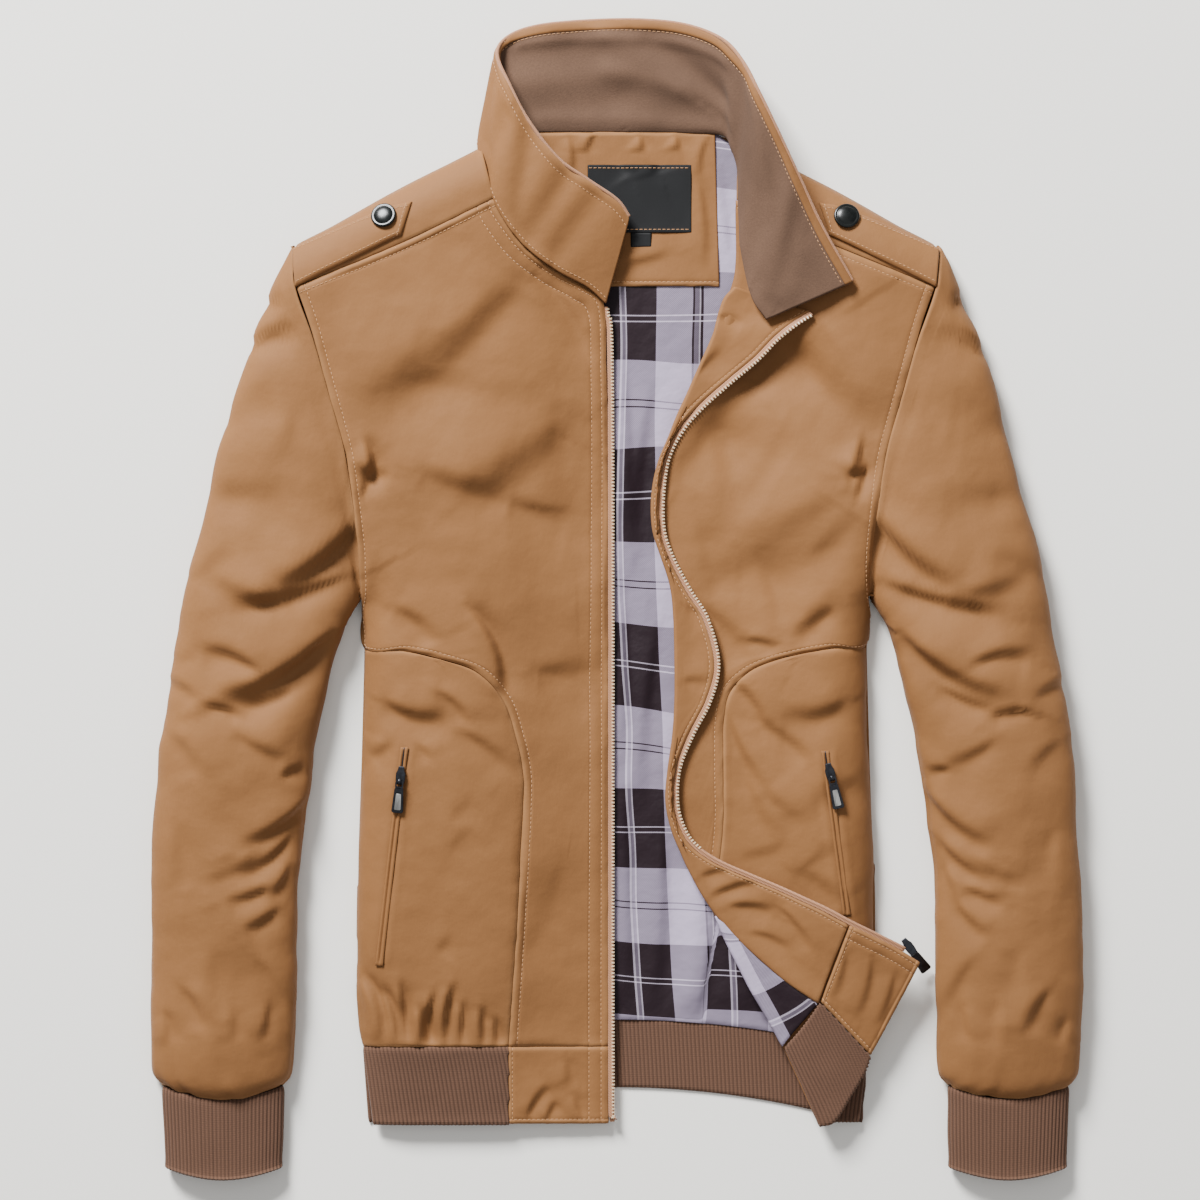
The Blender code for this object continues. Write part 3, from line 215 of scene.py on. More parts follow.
LEFT_FOLDS = table(
    FOLD_COLUMNS,
    (64, 166, 150, 196, -6, 4.2, 17, 2.2), (118, 190, 186, 112, -6, 3.2, 17, 1.8),
    (48, 84, 100, 150, 4, 3.2, 15, 1.6), (76, 128, 88, 40, 4, 1.8, 14, 1.2),
    (160, 70, 88, 20, 5, 1.8, 17, 1.4), (158, -9, 134, -34, -3, 2.5, 8, 0.9),
    (166, -76, 118, -88, 6, 2.8, 9, 1.2), (84, -61, 103, -91, 3, 2.2, 5, 1.1),
    (101, -89, 136, -118, 2, 1.8, 6, 0.9), (78, -81, 105, -137, -4, 1.9, 5, 1),
    (105, -137, 133, -164, -2, 1.3, 7, 0.6), (90, 215, 104, 143, -5, 1.6, 9, 0.7),
    (147, 194, 129, 143, 2, 1, 12, 0.5), (177, 114, 169, 86, 3, 2.5, 4, 1.3),
    (180, 93, 165, 87, 2, 2.3, 4, 1.3), (172, 71, 182, 104, -2, 2.2, 4, 1.1),
    (104, 28, 122, -30, 3, 1.6, 8, 0.8), (140, 28, 177, 57, -3, 1.3, 10, 0.6),
    (93, -30, 115, -37, 1, 1.4, 4, 0.8), (133, -30, 165, -1, 3, 1.1, 9, 0.5),
    (61, 57, 74, -1, 2, 1, 8, 0.5), (90, -188, 126, -181, 0, 1, 7, 0.4),
    (120, 120, 96, 60, 3, 0.9, 13, 0.4), (133, -195, 158, -181, 0, 1, 6, 0.4),
    (76, 190, 174, 150, -5, 1.6, 24, 1), (58, 116, 120, 92, 4, 2.4, 22, 1),
    (66, 14, 168, 30, -5, 2.2, 20, 1), (60, -8, 92, -46, 3, 1.8, 9, 0.9),
    (176, -130, 140, -150, 3, 1.4, 11, 0.7), (88, -122, 112, -176, -3, 1.8, 8, 0.9),
    (128, -196, 160, -222, 2, 1.4, 8, 0.7),
    # gathers over the hem rib
    (178, -270, 164, -318, -4, 3.2, 4.2, 2.1), (165, -284, 156, -318, -2, 2.7, 3.6, 1.8),
    (151, -280, 148, -319, 0, 2.7, 3.6, 1.8), (139, -292, 136, -320, 1, 2.7, 3.8, 1.8),
    (128, -296, 127, -320, 0, 2, 3, 1.5),
)
SLEEVE_FOLDS = table(
    FOLD_COLUMNS,
    (-262, 178, -229, 190, 3, 2.8, 5.5, 1.4), (-289, 76, -233, 73, -5, 1.8, 13, 0.8),
    (-183, 52, -240, 4, 6, 5, 7.5, 2.4), (-190, 15, -275, -9, 4, 3.4, 6.5, 1.8),
    (-202, -27, -281, -77, 8, 5.6, 8, 2.6), (-255, -53, -295, -41, -4, 2.9, 6, 1.5),
    (-295, -77, -268, -88, 3, 2.2, 4.5, 1.1), (-230, -64, -268, -77, 3, 2.5, 5, 1.3),
    (-219, -145, -266, -180, 5, 3.4, 6.5, 1.8), (-228, -168, -267, -201, 4, 2.8, 5.5, 1.5),
    (-247, -207, -277, -219, 2, 2.4, 5.5, 1.3), (-240, -222, -264, -239, 2, 2, 5, 1.1),
    (-312, -160, -306, -209, 2, 1.5, 8, 0.7), (-310, -279, -296, -308, 2, 2.1, 5.5, 1.1),
    (-268, 124, -276, 55, 3, 1.4, 16, 0.5), (-226, 131, -238, 91, 3, 1.2, 9, 0.5),
    (-257, -258, -238, -298, 2, 1.5, 6, 0.7), (-300, 8, -268, 30, 3, 1.3, 9, 0.6),
    (-318, -98, -300, -128, 2, 1.4, 7, 0.7), (-286, -250, -282, -300, 2, 1.1, 10, 0.5),
    (-246, -4, -296, 12, 4, 2.4, 9, 1.2), (-272, -96, -236, -118, -3, 1.8, 6, 0.9),
    (-322, -60, -300, -74, 2, 1.4, 4.5, 0.8), (-238, -128, -222, -122, 1, 1.5, 4, 0.8),
    (-250, -180, -292, -206, 4, 1.8, 7, 0.9), (-232, -190, -244, -216, 2, 1.7, 4.5, 0.9),
    (-262, 214, -238, 208, 1, 1.5, 5, 0.8), (-280, 120, -240, 140, 4, 1.3, 13, 0.6),
    (-246, -290, -250, -316, 1, 1.5, 4, 0.8), (-272, -292, -270, -316, 1, 1.2, 4, 0.7),
    (-322, -296, -318, -318, 1, 1.4, 4, 0.8),
)


# ---- lines and heights

def smooth_step(t):
    t = np.clip(t, 0.0, 1.0)
    return t * t * (3.0 - 2.0 * t)


def quarter_round(distance, width):
    """Rise of a rolled edge: 0 at the edge, 1 once width has been crossed."""
    t = 1.0 - np.clip(distance / width, 0.0, 1.0)
    return np.sqrt(1.0 - t * t)


def curve(points, steps=16):
    """The smooth curve through points, with steps to each span."""
    points = np.array(points, dtype=float)
    knots = np.vstack([2 * points[0] - points[1], points, 2 * points[-1] - points[-2]])
    t = (np.arange(steps) / steps)[:, None]
    spans = []
    for p0, p1, p2, p3 in zip(knots, knots[1:], knots[2:], knots[3:]):
        spans.append(0.5 * (2 * p1 + (p2 - p0) * t + (2 * p0 - 5 * p1 + 4 * p2 - p3) * t ** 2
                            + (3 * p1 - p0 - 3 * p2 + p3) * t ** 3))
    return np.vstack(spans + [points[-1:]])


def run_length(points):
    """Distance along a line at each of its points."""
    return np.concatenate([[0.0], np.cumsum(np.linalg.norm(np.diff(points, axis=0), axis=1))])


def at_lengths(points, lengths, wanted):
    return np.stack([np.interp(wanted, lengths, points[:, axis]) for axis in range(points.shape[1])], axis=1)


def along(points, count):
    """count points evenly spaced on the smooth curve through points."""
    dense = curve(points)
    lengths = run_length(dense)
    return at_lengths(dense, lengths, np.linspace(0, lengths[-1], count))


def mirrored(points, sign=-1):
    return [(x * sign, y) for x, y in points]


def line_of(rows, name):
    """The line through a table's columns name_x and name_y."""
    return np.array([(getattr(row, name + "_x"), getattr(row, name + "_y")) for row in rows], dtype=float)


def read_off(rows, y, column):
    """A table's column at y, between its rows."""
    return np.interp(y, [row.y for row in rows], [getattr(row, column) for row in rows])


def unit(vectors):
    """Vectors drawn to length 1."""
    return vectors / np.maximum(np.linalg.norm(vectors, axis=-1, keepdims=True), 1e-9)


def beside(points, distance):
    """A line moved sideways, to the left of its run where distance is positive."""
    points = np.array(points, dtype=float)
    runs = unit(np.gradient(points, axis=0))
    return points + distance * np.stack([-runs[:, 1], runs[:, 0]], axis=1)


def from_line(x, y, points):
    """Distance from a line, more than 0 on its left, and the nearest point's place along it, from 0 to 1."""
    points = np.array(points, dtype=float)
    lengths = run_length(points)
    nearest = np.full(np.shape(x), np.inf)
    side, place = np.ones(np.shape(x)), np.zeros(np.shape(x))
    for k, (start, run) in enumerate(zip(points, np.diff(points, axis=0))):
        rx, ry = x - start[0], y - start[1]
        t = np.clip((rx * run[0] + ry * run[1]) / (run @ run), 0.0, 1.0)
        distance = np.hypot(rx - t * run[0], ry - t * run[1])
        closer = distance < nearest
        nearest = np.where(closer, distance, nearest)
        side = np.where(closer, np.where(run[0] * ry - run[1] * rx >= 0, 1.0, -1.0), side)
        place = np.where(closer, (lengths[k] + t * (lengths[k + 1] - lengths[k])) / lengths[-1], place)
    return nearest * side, place


def inside(x, y, rim):
    """Distance inside a rim that is listed with the garment on its left, 0 beyond it."""
    return np.maximum(from_line(x, y, rim)[0], 0.0)


def crest_at(y):
    """Height of the body's fullest part at y, with the table's corners rounded."""
    offsets = (-16.0, -8.0, 0.0, 8.0, 16.0)
    return sum(read_off(CREST, y + offset, "z") for offset in offsets) / len(offsets)


def body_height(x, y, rolled_side=True):
    """Top of the smooth body: low at the open edge, full over the chest, rolled down at the sides."""
    right = np.mean(x) < 0
    away = np.abs(from_line(x, y, RIGHT_OPEN_EDGE if right else LEFT_FOLD)[0])
    height = OPEN_EDGE_Z + (crest_at(y) - OPEN_EDGE_Z) * smooth_step(away / OPEN_RISE)
    rolled = quarter_round(inside(-np.abs(x), y, RIDGE), RIDGE_ROUND)
    if rolled_side:
        rolled = rolled * quarter_round(inside(-np.abs(x), y, SIDE_LIMIT), SIDE_ROUND)
    return SIDE_EDGE_Z + (height - SIDE_EDGE_Z) * rolled


def turned_height(x, y):
    """Base of the turned-out layers: just over the front beneath, and level past the body's side."""
    base = body_height(x, y, rolled_side=False) * (1.0 - 0.42 * smooth_step((x - 152.0) / 68.0))
    off_fold = smooth_step(np.abs(from_line(x, y, LEFT_FOLD)[0]) / 22.0)
    clearance = FOLD_CLEARANCE + (TURN_CLEARANCE - FOLD_CLEARANCE) * off_fold
    return np.maximum(base, body_height(x, y)) + clearance + TURN_CLEARANCE * smooth_step((x - 110.0) / 30.0)


def facing_height(x, y):
    """Base of the facing: it slips down beneath the collar at its upper end."""
    return turned_height(x, y) - 2.4 * smooth_step((y - 190.0) / 16.0)


def lining_height(x, y):
    """Underside of the lining on the back, with its soft waves."""
    soft = 1.1 + 1.1 * np.sin(x / 23.0 + 0.6 * np.sin(y / 70.0)) * np.sin(y / 95.0 + 0.4)
    edge = quarter_round(np.abs(from_line(-np.abs(x), y, SIDE_LIMIT)[0]) - 14.0, 60.0)
    fold = 2.2 * np.exp(-(from_line(x, y, [(61, -202), (54, -296)])[0] / 9.0) ** 2)
    ends = smooth_step((300 - y) / 80.0) * smooth_step((y + 310) / 30.0)
    return SHELL + SEAM + (soft + fold) * edge * ends


def floor_height(x, y):
    return np.zeros(np.shape(x))


UPPER_SIDE = np.array([-0.4, 1.0])      # a crease's bulge lies on this side of it


def crease(x, y, folds):
    """How far the cloth stands from the smooth form: the drop into each crease and the bulge over it."""
    total = np.zeros(np.shape(x))
    for fold in folds:
        start, end = np.array([fold.x0, fold.y0]), np.array([fold.x1, fold.y1])
        run = end - start
        sideways = np.array([-run[1], run[0]]) / np.linalg.norm(run)
        t = np.linspace(0, 1, 8)[:, None]
        line = start + run * t + sideways * fold.bend * 4 * t * (1 - t)
        distance, place = from_line(x, y, line)
        upper = 1.0 if sideways @ UPPER_SIDE > 0 else -1.0
        across = upper * distance / (fold.width * (0.65 + 0.7 * place))
        fade = 1.0 - 0.8 * np.abs(2 * place - 1) ** 3
        hollow = np.where(across > 0, np.exp(-(across / 0.8) ** 2), np.exp(-np.abs(across / 1.7) ** 1.6))
        past = across - 1.4
        bulge = np.exp(-(past / np.where(past < 0, 0.75, 2.4)) ** 2)
        total += fade * (fold.lip * bulge - fold.depth * hollow)
    return total


def uneven(x, y, size, seed):
    """Smooth waves about size across, from -1 to 1, the same on every run."""
    lattice = np.random.default_rng(seed).uniform(-1, 1, (97, 97))
    u, v = np.asarray(x) / size, np.asarray(y) / size
    iu, iv = np.floor(u).astype(int), np.floor(v).astype(int)
    fu, fv = smooth_step(u - iu), smooth_step(v - iv)

    def corner(i, j):
        return lattice[(iu + i) % 97, (iv + j) % 97]

    return ((corner(0, 0) * (1 - fu) + corner(1, 0) * fu) * (1 - fv)
            + (corner(0, 1) * (1 - fu) + corner(1, 1) * fu) * fv)


# ---- cloth grids

EDGES = ("left", "right", "top", "bottom")      # of a grid: its first and last columns, first and last rows
ROLL_STEPS = (0.0, 0.35, 1.0, 2.0, 3.4, 5.2, 7.4, 10.0)
SEAM_STEPS = (0.0, 0.7, 1.5, 2.6)
GROOVE_STEPS = (-1.1, -0.5, 0.0, 0.5, 1.1)
ROLLED = "rolled"


def edge_steps(edge):
    """Distances from an edge where a grid has points: close together beside a seam, roll or stitch line."""
    if edge is None:
        return np.array([0.0])
    if edge == ROLLED:
        return np.array(ROLL_STEPS)
    return np.array(sorted(set(SEAM_STEPS) | {stitches + step for stitches in edge for step in GROOVE_STEPS}))


def stations(length, middle, start, end):
    """Distances across a panel from one edge to the other."""
    head, tail = edge_steps(start), edge_steps(end)
    room = 0.46 * length
    head = head * min(1.0, room / max(head[-1], 1e-6))
    tail = length - (tail * min(1.0, room / max(tail[-1], 1e-6)))[::-1]
    return np.concatenate([head, np.linspace(head[-1], tail[0], middle + 2)[1:-1], tail])


TOP_REACH = 70.0                    # how far down a panel the bend of its upper edge reaches


def panel(first, second, spacing, edges, top=None):
    """Plan of a panel between two matching lines; edges gives each seamed edge its stitch lines."""
    first, second = curve(first), curve(second)
    middle_line = (first + second) / 2
    lengths = run_length(middle_line)
    rows = stations(lengths[-1], int(lengths[-1] / spacing), edges.get("top"), edges.get("bottom"))
    starts, ends = at_lengths(first, lengths, rows), at_lengths(second, lengths, rows)
    widths = np.linalg.norm(ends - starts, axis=1)
    middle = int(widths.max() / spacing)
    grid = []
    for start, end, width in zip(starts, ends, widths):
        across = stations(width, middle, edges.get("left"), edges.get("right")) / max(width, 1e-6)
        grid.append(start + (end - start) * across[:, None])
    grid = np.array(grid)
    if top is not None:
        share, wanted = run_length(top), run_length(grid[0])
        bend = at_lengths(top, share / share[-1], wanted / wanted[-1]) - grid[0]
        grid = grid + bend[None] * (1.0 - smooth_step(rows / TOP_REACH))[:, None, None]
    return grid


def loft(lines, rows, columns):
    """A grid through several lines, each of which is one row of it."""
    spread = np.array([along(line, columns) for line in lines])
    steps = 24
    dense = np.stack([curve(spread[:, k], steps) for k in range(columns)], axis=1)
    wanted = np.linspace(0, len(dense) - 1, rows)
    low = np.minimum(wanted.astype(int), len(dense) - 2)
    share = (wanted - low)[:, None, None]
    return dense[low] * (1 - share) + dense[low + 1] * share


def border(grid, tube=False):
    """Distance of each point of a grid from each of its four edges."""
    across = np.pad(np.cumsum(np.linalg.norm(np.diff(grid, axis=1), axis=2), axis=1), ((0, 0), (1, 0)))
    down = np.pad(np.cumsum(np.linalg.norm(np.diff(grid, axis=0), axis=2), axis=0), ((1, 0), (0, 0)))
    found = {"left": across, "right": across[:, -1:] - across, "top": down, "bottom": down[-1:] - down}
    if tube:
        found["left"] = found["right"] = np.full(across.shape, np.inf)
    return found


def normals_of(grid, tube=False, toward=(0.0, 0.0, 1.0)):
    """Unit normals of a grid, on the side of toward or, for a tube, away from its middle."""
    down = np.gradient(grid, axis=0)
    across = (np.roll(grid, -1, axis=1) - np.roll(grid, 1, axis=1)) if tube else np.gradient(grid, axis=1)
    normals = unit(np.cross(across, down))
    if tube:
        toward = grid - grid.mean(axis=1, keepdims=True)
    return normals if (normals * toward).sum() > 0 else -normals


def laid(plan, height, lift=0.0):
    """The points of a plan on a smooth height, moved out by lift, and their normals."""
    x, y = plan[..., 0], plan[..., 1]
    base = np.dstack([x, y, height(x, y)])
    normals = normals_of(base)
    return base + normals * lift, normals


def hump(distance, width):
    """A smooth rise of 1 where distance is 0, gone at about twice width."""
    return np.exp(-(distance / width) ** 2)


def sewn_relief(distances, edges, seed):
    """The valley at each seamed edge, its stitch lines' grooves and the small puckers beside them."""
    relief = np.zeros(distances["left"].shape)
    for number, name in enumerate(EDGES):
        if edges.get(name) in (None, ROLLED):
            continue
        distance = distances[name]
        run = distances["top"] if name in ("left", "right") else distances["left"]
        relief -= 0.85 * hump(distance, 1.2)
        relief += 0.32 * uneven(run, distance * 0.35, 6.5, seed * 7 + number) * np.exp(-distance / 8.0)
        for stitches in edges[name]:
            relief += 0.22 * hump(distance - stitches + 1.9, 1.3) - 0.42 * hump(distance - stitches, 0.75)
    return relief


def seam_wear(distances, edges):
    """How pale the cloth is worn beside its seamed edges."""
    seams = [edge for edge, stitches in edges.items() if stitches not in (None, ROLLED)]
    return sum((hump(distances[edge], 2.2) for edge in seams), np.zeros(distances["left"].shape))


Piece = namedtuple("Piece", "grid normals distances")


RIM_BULGE = 0.42                    # how far a cut edge rounds out, in thicknesses


def shell(name, grid, thickness, finish, normals, tube=False, uv=None, wear=None):
    """A closed cloth wall beneath a grid of points, with rounded rims, and a mark at each point: pale wear
    beside seams on woven cloth, painted shade in the grooves on knit ribs.
    """
    rows, columns = grid.shape[:2]
    under = grid - normals * thickness
    size = rows * columns
    r, c = np.meshgrid(np.arange(rows - 1), np.arange(columns if tube else columns - 1), indexing="ij")
    corners = [(r, c), (r, c + 1), (r + 1, c + 1), (r + 1, c)]
    outer = np.stack([i * columns + j % columns for i, j in corners], axis=-1).reshape(-1, 4)
    places = np.stack([i * (columns + 1) + j for i, j in corners], axis=-1).reshape(-1, 4)
    vertices = [grid.reshape(-1, 3), under.reshape(-1, 3)]
    faces, face_places = [outer, outer[:, ::-1] + size], [places, places[:, ::-1]]

    if tube:
        loops = [[(row, k) for k in range(columns + 1)] for row in (0, rows - 1)]
    else:
        loop = [(0, k) for k in range(columns)] + [(k, columns - 1) for k in range(1, rows)]
        loop += [(rows - 1, k) for k in range(columns - 2, -1, -1)]
        loop += [(k, 0) for k in range(rows - 2, -1, -1)]
        loops = [loop]
    count = 2 * size
    for loop in loops:
        at = [(i, j % columns) for i, j in loop]
        middle = [(grid[spot] + under[spot]) / 2 + outward(grid, *spot, tube) * thickness * RIM_BULGE
                  for spot in at[:-1]]
        vertices.append(middle)
        rim = count + np.arange(len(at)) % len(middle)
        top = np.array([i * columns + j for i, j in at])
        place = np.array([i * (columns + 1) + j for i, j in loop])
        for a, b in ((top, rim), (rim, top + size)):
            faces.append(np.stack([a[:-1], b[:-1], b[1:], a[1:]], axis=1))
            face_places.append(np.stack([place[:-1], place[:-1], place[1:], place[1:]], axis=1))
        count += len(middle)
    vertices, faces, face_places = np.vstack(vertices) * MM, np.vstack(faces), np.vstack(face_places)

    mesh = bpy.data.meshes.new(name)
    mesh.from_pydata(vertices.tolist(), [], faces.tolist())
    uv = plan_uv(grid, tube) if uv is None else uv
    if uv.shape[1] == columns:
        uv = np.concatenate([uv, uv[:, -1:]], axis=1)
    layer = mesh.uv_layers.new(name="cloth")
    layer.data.foreach_set("uv", uv.reshape(-1, 2)[face_places.reshape(-1)].astype(np.float32).reshape(-1))
    # One attribute carries both marks: the pale wear beside seams, and the painted shade in the grooves of
    # knit ribs.
    wear_and_shade_values = np.zeros(len(vertices), dtype=np.float32)
    if wear is not None:
        wear_and_shade_values[:rows * columns] = np.clip(wear, 0, 1).reshape(-1)
    mesh.attributes.new("worn_edge", "FLOAT", "POINT").data.foreach_set("value", wear_and_shade_values)
    return finish_mesh(name, mesh, finish)


def outward(grid, i, j, tube):
    """Which way the cloth ends at a border point, in its own surface."""
    rows, columns = grid.shape[:2]
    inner_row = min(max(i, 1), rows - 2)
    inner_column = j if tube else min(max(j, 1), columns - 2)
    return unit(grid[i, j] - grid[inner_row, inner_column])


def plan_uv(grid, tube):
    """Metres on the cloth: straight down for laid cloth, round and along for a tube."""
    if not tube:
        return grid[..., :2] * MM
    distances = border(closed_round(grid))
    return np.stack([distances["left"], distances["top"]], axis=-1) * MM


def closed_round(grid):
    """A tube's grid with its first column repeated at the end."""
    return np.concatenate([grid, grid[:, :1]], axis=1)


def finish_mesh(name, mesh, finish, sharp=None):
    """Makes an object of a mesh with its faces turned outwards; edges past sharp degrees stay sharp."""
    if signed_volume(mesh) < 0:
        mesh.flip_normals()
    mesh.shade_smooth()
    if sharp is not None:
        mesh.set_sharp_from_angle(angle=math.radians(sharp))
    mesh.materials.append(material(finish))
    made = bpy.data.objects.new(name + FINISHES[finish].suffix, mesh)
    bpy.context.scene.collection.objects.link(made)
    return made


def signed_volume(mesh):
    """A closed mesh's volume, less than 0 where its faces point inwards."""
    points = np.empty(len(mesh.vertices) * 3)
    mesh.vertices.foreach_get("co", points)
    mesh.calc_loop_triangles()
    corners = np.empty(len(mesh.loop_triangles) * 3, dtype=np.int32)
    mesh.loop_triangles.foreach_get("vertices", corners)
    a, b, c = points.reshape(-1, 3)[corners.reshape(-1, 3).T]
    return float(np.einsum("ij,ij->i", a, np.cross(b, c)).sum() / 6)


def attach(made, nodes=(), body=JACKET):
    """Says which body a piece rides on and the solids whose place it takes."""
    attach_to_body(made, body)
    if nodes:
        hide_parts(*nodes)
    return made


def declare_cut(grid, tube):
    closed = closed_round(grid) if tube else grid
    distances = border(closed)
    width, length = distances["left"][:, -1].max() * MM, distances["top"][-1].max() * MM
    diagonals = np.cross(closed[1:, 1:] - closed[:-1, :-1], closed[1:, :-1] - closed[:-1, 1:])
    area = min(np.linalg.norm(diagonals, axis=2).sum() / 2 * MM * MM, width * length)
    if area < 0.32 * width * length:                 # a slanted strip: a little more than its mean width
        width = area / length / 0.9


def sheet(name, grid, thickness, finish, cut, held, rests_on, normals, tube=False, slot=None, **look):
    """A piece of cloth in the place of the solid of its name; its flat size is worked out from the grid cut,
    and not kept.
    """
    made = shell(name, grid, thickness, finish, normals, tube, **look)
    attach(made, [name])
    declare_cut(cut, tube)


def cloth(name, plan, height, lift, thickness, finish, edges, rests_on=(), folds=(), rough=0.35, seed=1,
          ribs=0.0, uv=None, extra=None, held="laid", broad=0.0):
    """One laid piece of cloth: its plan on a smooth height, its creases, seams and small unevenness."""
    x, y = plan[..., 0], plan[..., 1]
    base, normals = laid(plan, height, lift + thickness)
    distances = border(base)
    stand = crease(x, y, folds) * settings().fold_strength + sewn_relief(distances, edges, seed)
    inner = np.minimum.reduce([smooth_step(distances[edge] / 6.0) for edge in EDGES])
    stand += broad * uneven(x, y, 58.0, seed + 20) * inner
    stand += rough * (0.7 * uneven(x, y, 27.0, seed + 50) + 0.3 * uneven(x, y, 11.0, seed + 90)) * inner
    wear = seam_wear(distances, edges)
    if ribs:
        wave = rib_wave(distances["left"], ribs)
        stand += wave
        # On a knit the colour mark is painted shade, darker in the grooves between its ribs.
        wear = groove(wave)
    if extra is not None:
        stand += extra(x, y, distances)
    grid = base + normals * stand[..., None]
    lowest = np.full(x.shape, thickness)
    if "back_lining" in rests_on:                    # a crease stops on the lining beneath it
        lowest = np.minimum(base[..., 2] - 0.6, lining_height(x, y) + LINING + SEAM + thickness)
    grid[..., 2] = np.maximum(grid[..., 2], lowest)
    final = normals_of(grid)
    sheet(name, grid, thickness, finish, base, held, list(rests_on), uv=uv, normals=final, wear=wear)
    return Piece(grid, final, distances)


def rib_wave(distance, pitch):
    """Raised knit ribs across a piece, round on top and narrow between."""
    phase = (distance / pitch) % 1.0
    return settings_mm("rib_height") * (np.abs(np.cos(math.pi * phase)) ** 0.7 - 0.6)


def groove(wave):
    """How deep in a groove each point of a rib wave is, from 0 to 1: where a knit's colour gets its painted
    shade.
    """
    return smooth_step((wave.max() - wave) / max(np.ptp(wave), 1e-6))


RIB_POINTS = 6                      # columns of points across one knit rib


def rib_columns(width):
    """Columns of a piece with whole ribs across it, and the pitch of its ribs."""
    ribs = max(2, round(width / settings_mm("rib_pitch")))
    return ribs * RIB_POINTS + 1, width / ribs


# ---- settings

def linear(hex_color):
    """An sRGB hex colour as linear red, green and blue."""
    channels = [int(hex_color[k:k + 2], 16) / 255 for k in (1, 3, 5)]
    return tuple(c / 12.92 if c <= 0.04045 else ((c + 0.055) / 1.055) ** 2.4 for c in channels)


def color_property(name, description, hex_color):
    return FloatVectorProperty(name=name, description=description, subtype="COLOR", size=3, min=0, max=1,
                               default=linear(hex_color))


def length_property(name, description, millimetres):
    return FloatProperty(name=name, description=description, default=millimetres * MM, min=0.0, unit="LENGTH",
                         precision=4)


class JacketSettings(bpy.types.PropertyGroup):
    grid_spacing: length_property("Grid spacing", "Distance between the points of a cloth panel", 2.9)
    fold_strength: FloatProperty(name="Fold strength", description="How deep the placed creases are",
                                 default=1.4, min=0.0, max=3.0, subtype="FACTOR")
    rib_pitch: length_property("Rib pitch", "Distance from one knit rib to the next", 2.9)
    rib_height: length_property("Rib height", "How far a knit rib stands over its groove", 0.75)
    stitch_pitch: length_property("Stitch pitch", "Distance from one stitch to the next", 3.3)
    thread_radius: length_property("Thread radius", "Radius of the topstitching thread", 0.26)
    tooth_pitch: length_property("Tooth pitch", "Distance from one zip tooth to the next", 2.5)
    thread_pitch: length_property("Thread spacing", "Distance between the shell's threads as drawn", 0.7)
    shell_color: color_property("Shell", "Tan of the outer cloth", "#77502D")
    rib_color: color_property("Rib", "Brown of the knit", "#594032")
    fleece_color: color_property("Fleece", "Brown of the brushed collar lining", "#5B4537")
    thread_color: color_property("Thread", "Tan of the topstitching", "#A87A4E")
    check_dark: color_property("Check, dark", "Aubergine yarn of the lining", "#16060F")
    check_light: color_property("Check, light", "Pale lilac yarn of the lining", "#A498AE")
    check_line: color_property("Check, line", "White yarn of the lining's fine lines", "#B9AEBE")


def settings():
    return bpy.context.scene.jacket


def settings_mm(name):
    return getattr(settings(), name) / MM


# ---- materials

WAVE_TURN = 2 * math.pi / 20        # a wave texture of this scale has one band to the metre


def feed(node, inputs):
    """Gives a node's inputs their values, or links them to the sockets that feed them."""
    for socket, value in inputs.items():
        if isinstance(value, bpy.types.NodeSocket):
            node.id_data.links.new(value, node.inputs[socket])
        else:
            node.inputs[socket].default_value = value


def add_node(tree, kind, inputs=None, **values):
    """Adds a shader node with its settings; an input is a value or the socket that feeds it."""
    node = tree.nodes.new("ShaderNode" + kind)
    for name, value in values.items():
        setattr(node, name, value)
    feed(node, inputs or {})
    return node


def tint(color, share=1.0):
    """A linear colour made darker or lighter by share, with its alpha."""
    return (*[min(channel * share, 1.0) for channel in color], 1.0)


def woven_shell_cloth(tree, shader):
    # Cotton and nylon plain weave, calendered: matt, with a faint satin sheen and pale worn seams.
    # Its threads are drawn about twice as coarse as real, so that they show.
    uv = add_node(tree, "UVMap", uv_map="cloth").outputs["UV"]
    place = add_node(tree, "TexCoord").outputs["Object"]
    threads = {"Vector": uv, "Scale": WAVE_TURN / settings().thread_pitch}
    warp = add_node(tree, "TexWave", threads, bands_direction="X").outputs["Fac"]
    weft = add_node(tree, "TexWave", threads, bands_direction="Y").outputs["Fac"]
    weave = add_node(tree, "Math", {0: warp, 1: weft}, operation="MAXIMUM").outputs[0]
    cloudy = add_node(tree, "TexNoise", {"Vector": place, "Scale": 16.0, "Detail": 3.0}).outputs["Fac"]
    stretched = add_node(tree, "Mapping", {"Vector": uv, "Scale": (1500.0, 130.0, 1.0)}).outputs[0]
    slub = add_node(tree, "TexNoise", {"Vector": stretched, "Scale": 1.0, "Detail": 2.0}).outputs["Fac"]
    base = settings().shell_color
    tones = add_node(tree, "Mix", {"Factor": cloudy, 6: tint(base, 0.86), 7: tint(base, 1.12)},
                     data_type="RGBA").outputs[2]
    yarns = add_node(tree, "Mix", {"Factor": slub, 6: tones, 7: tint(base, 1.1)},
                     data_type="RGBA").outputs[2]
    wear_and_shade_values = add_node(tree, "Attribute", attribute_name="worn_edge").outputs["Fac"]
    pale = add_node(tree, "Math", {0: wear_and_shade_values, 1: 0.16}, operation="MULTIPLY").outputs[0]
    edge = add_node(tree, "Mix", {"Factor": pale, 6: yarns, 7: tint(linear("#B98C5F"))},
                    data_type="RGBA").outputs[2]
    crumple = add_node(tree, "TexNoise", {"Vector": place, "Scale": 75.0, "Detail": 3.0}).outputs["Fac"]
    small = add_node(tree, "Bump", {"Height": crumple, "Strength": 0.5, "Distance": 0.0011}).outputs[0]
    fine = add_node(tree, "Bump", {"Height": weave, "Strength": 0.35, "Distance": 0.00012,
                                             "Normal": small}).outputs[0]
    feed(shader, {"Base Color": edge, "Normal": fine, "Roughness": 0.7, "Sheen Weight": 0.02,
                  "Specular IOR Level": 0.2})


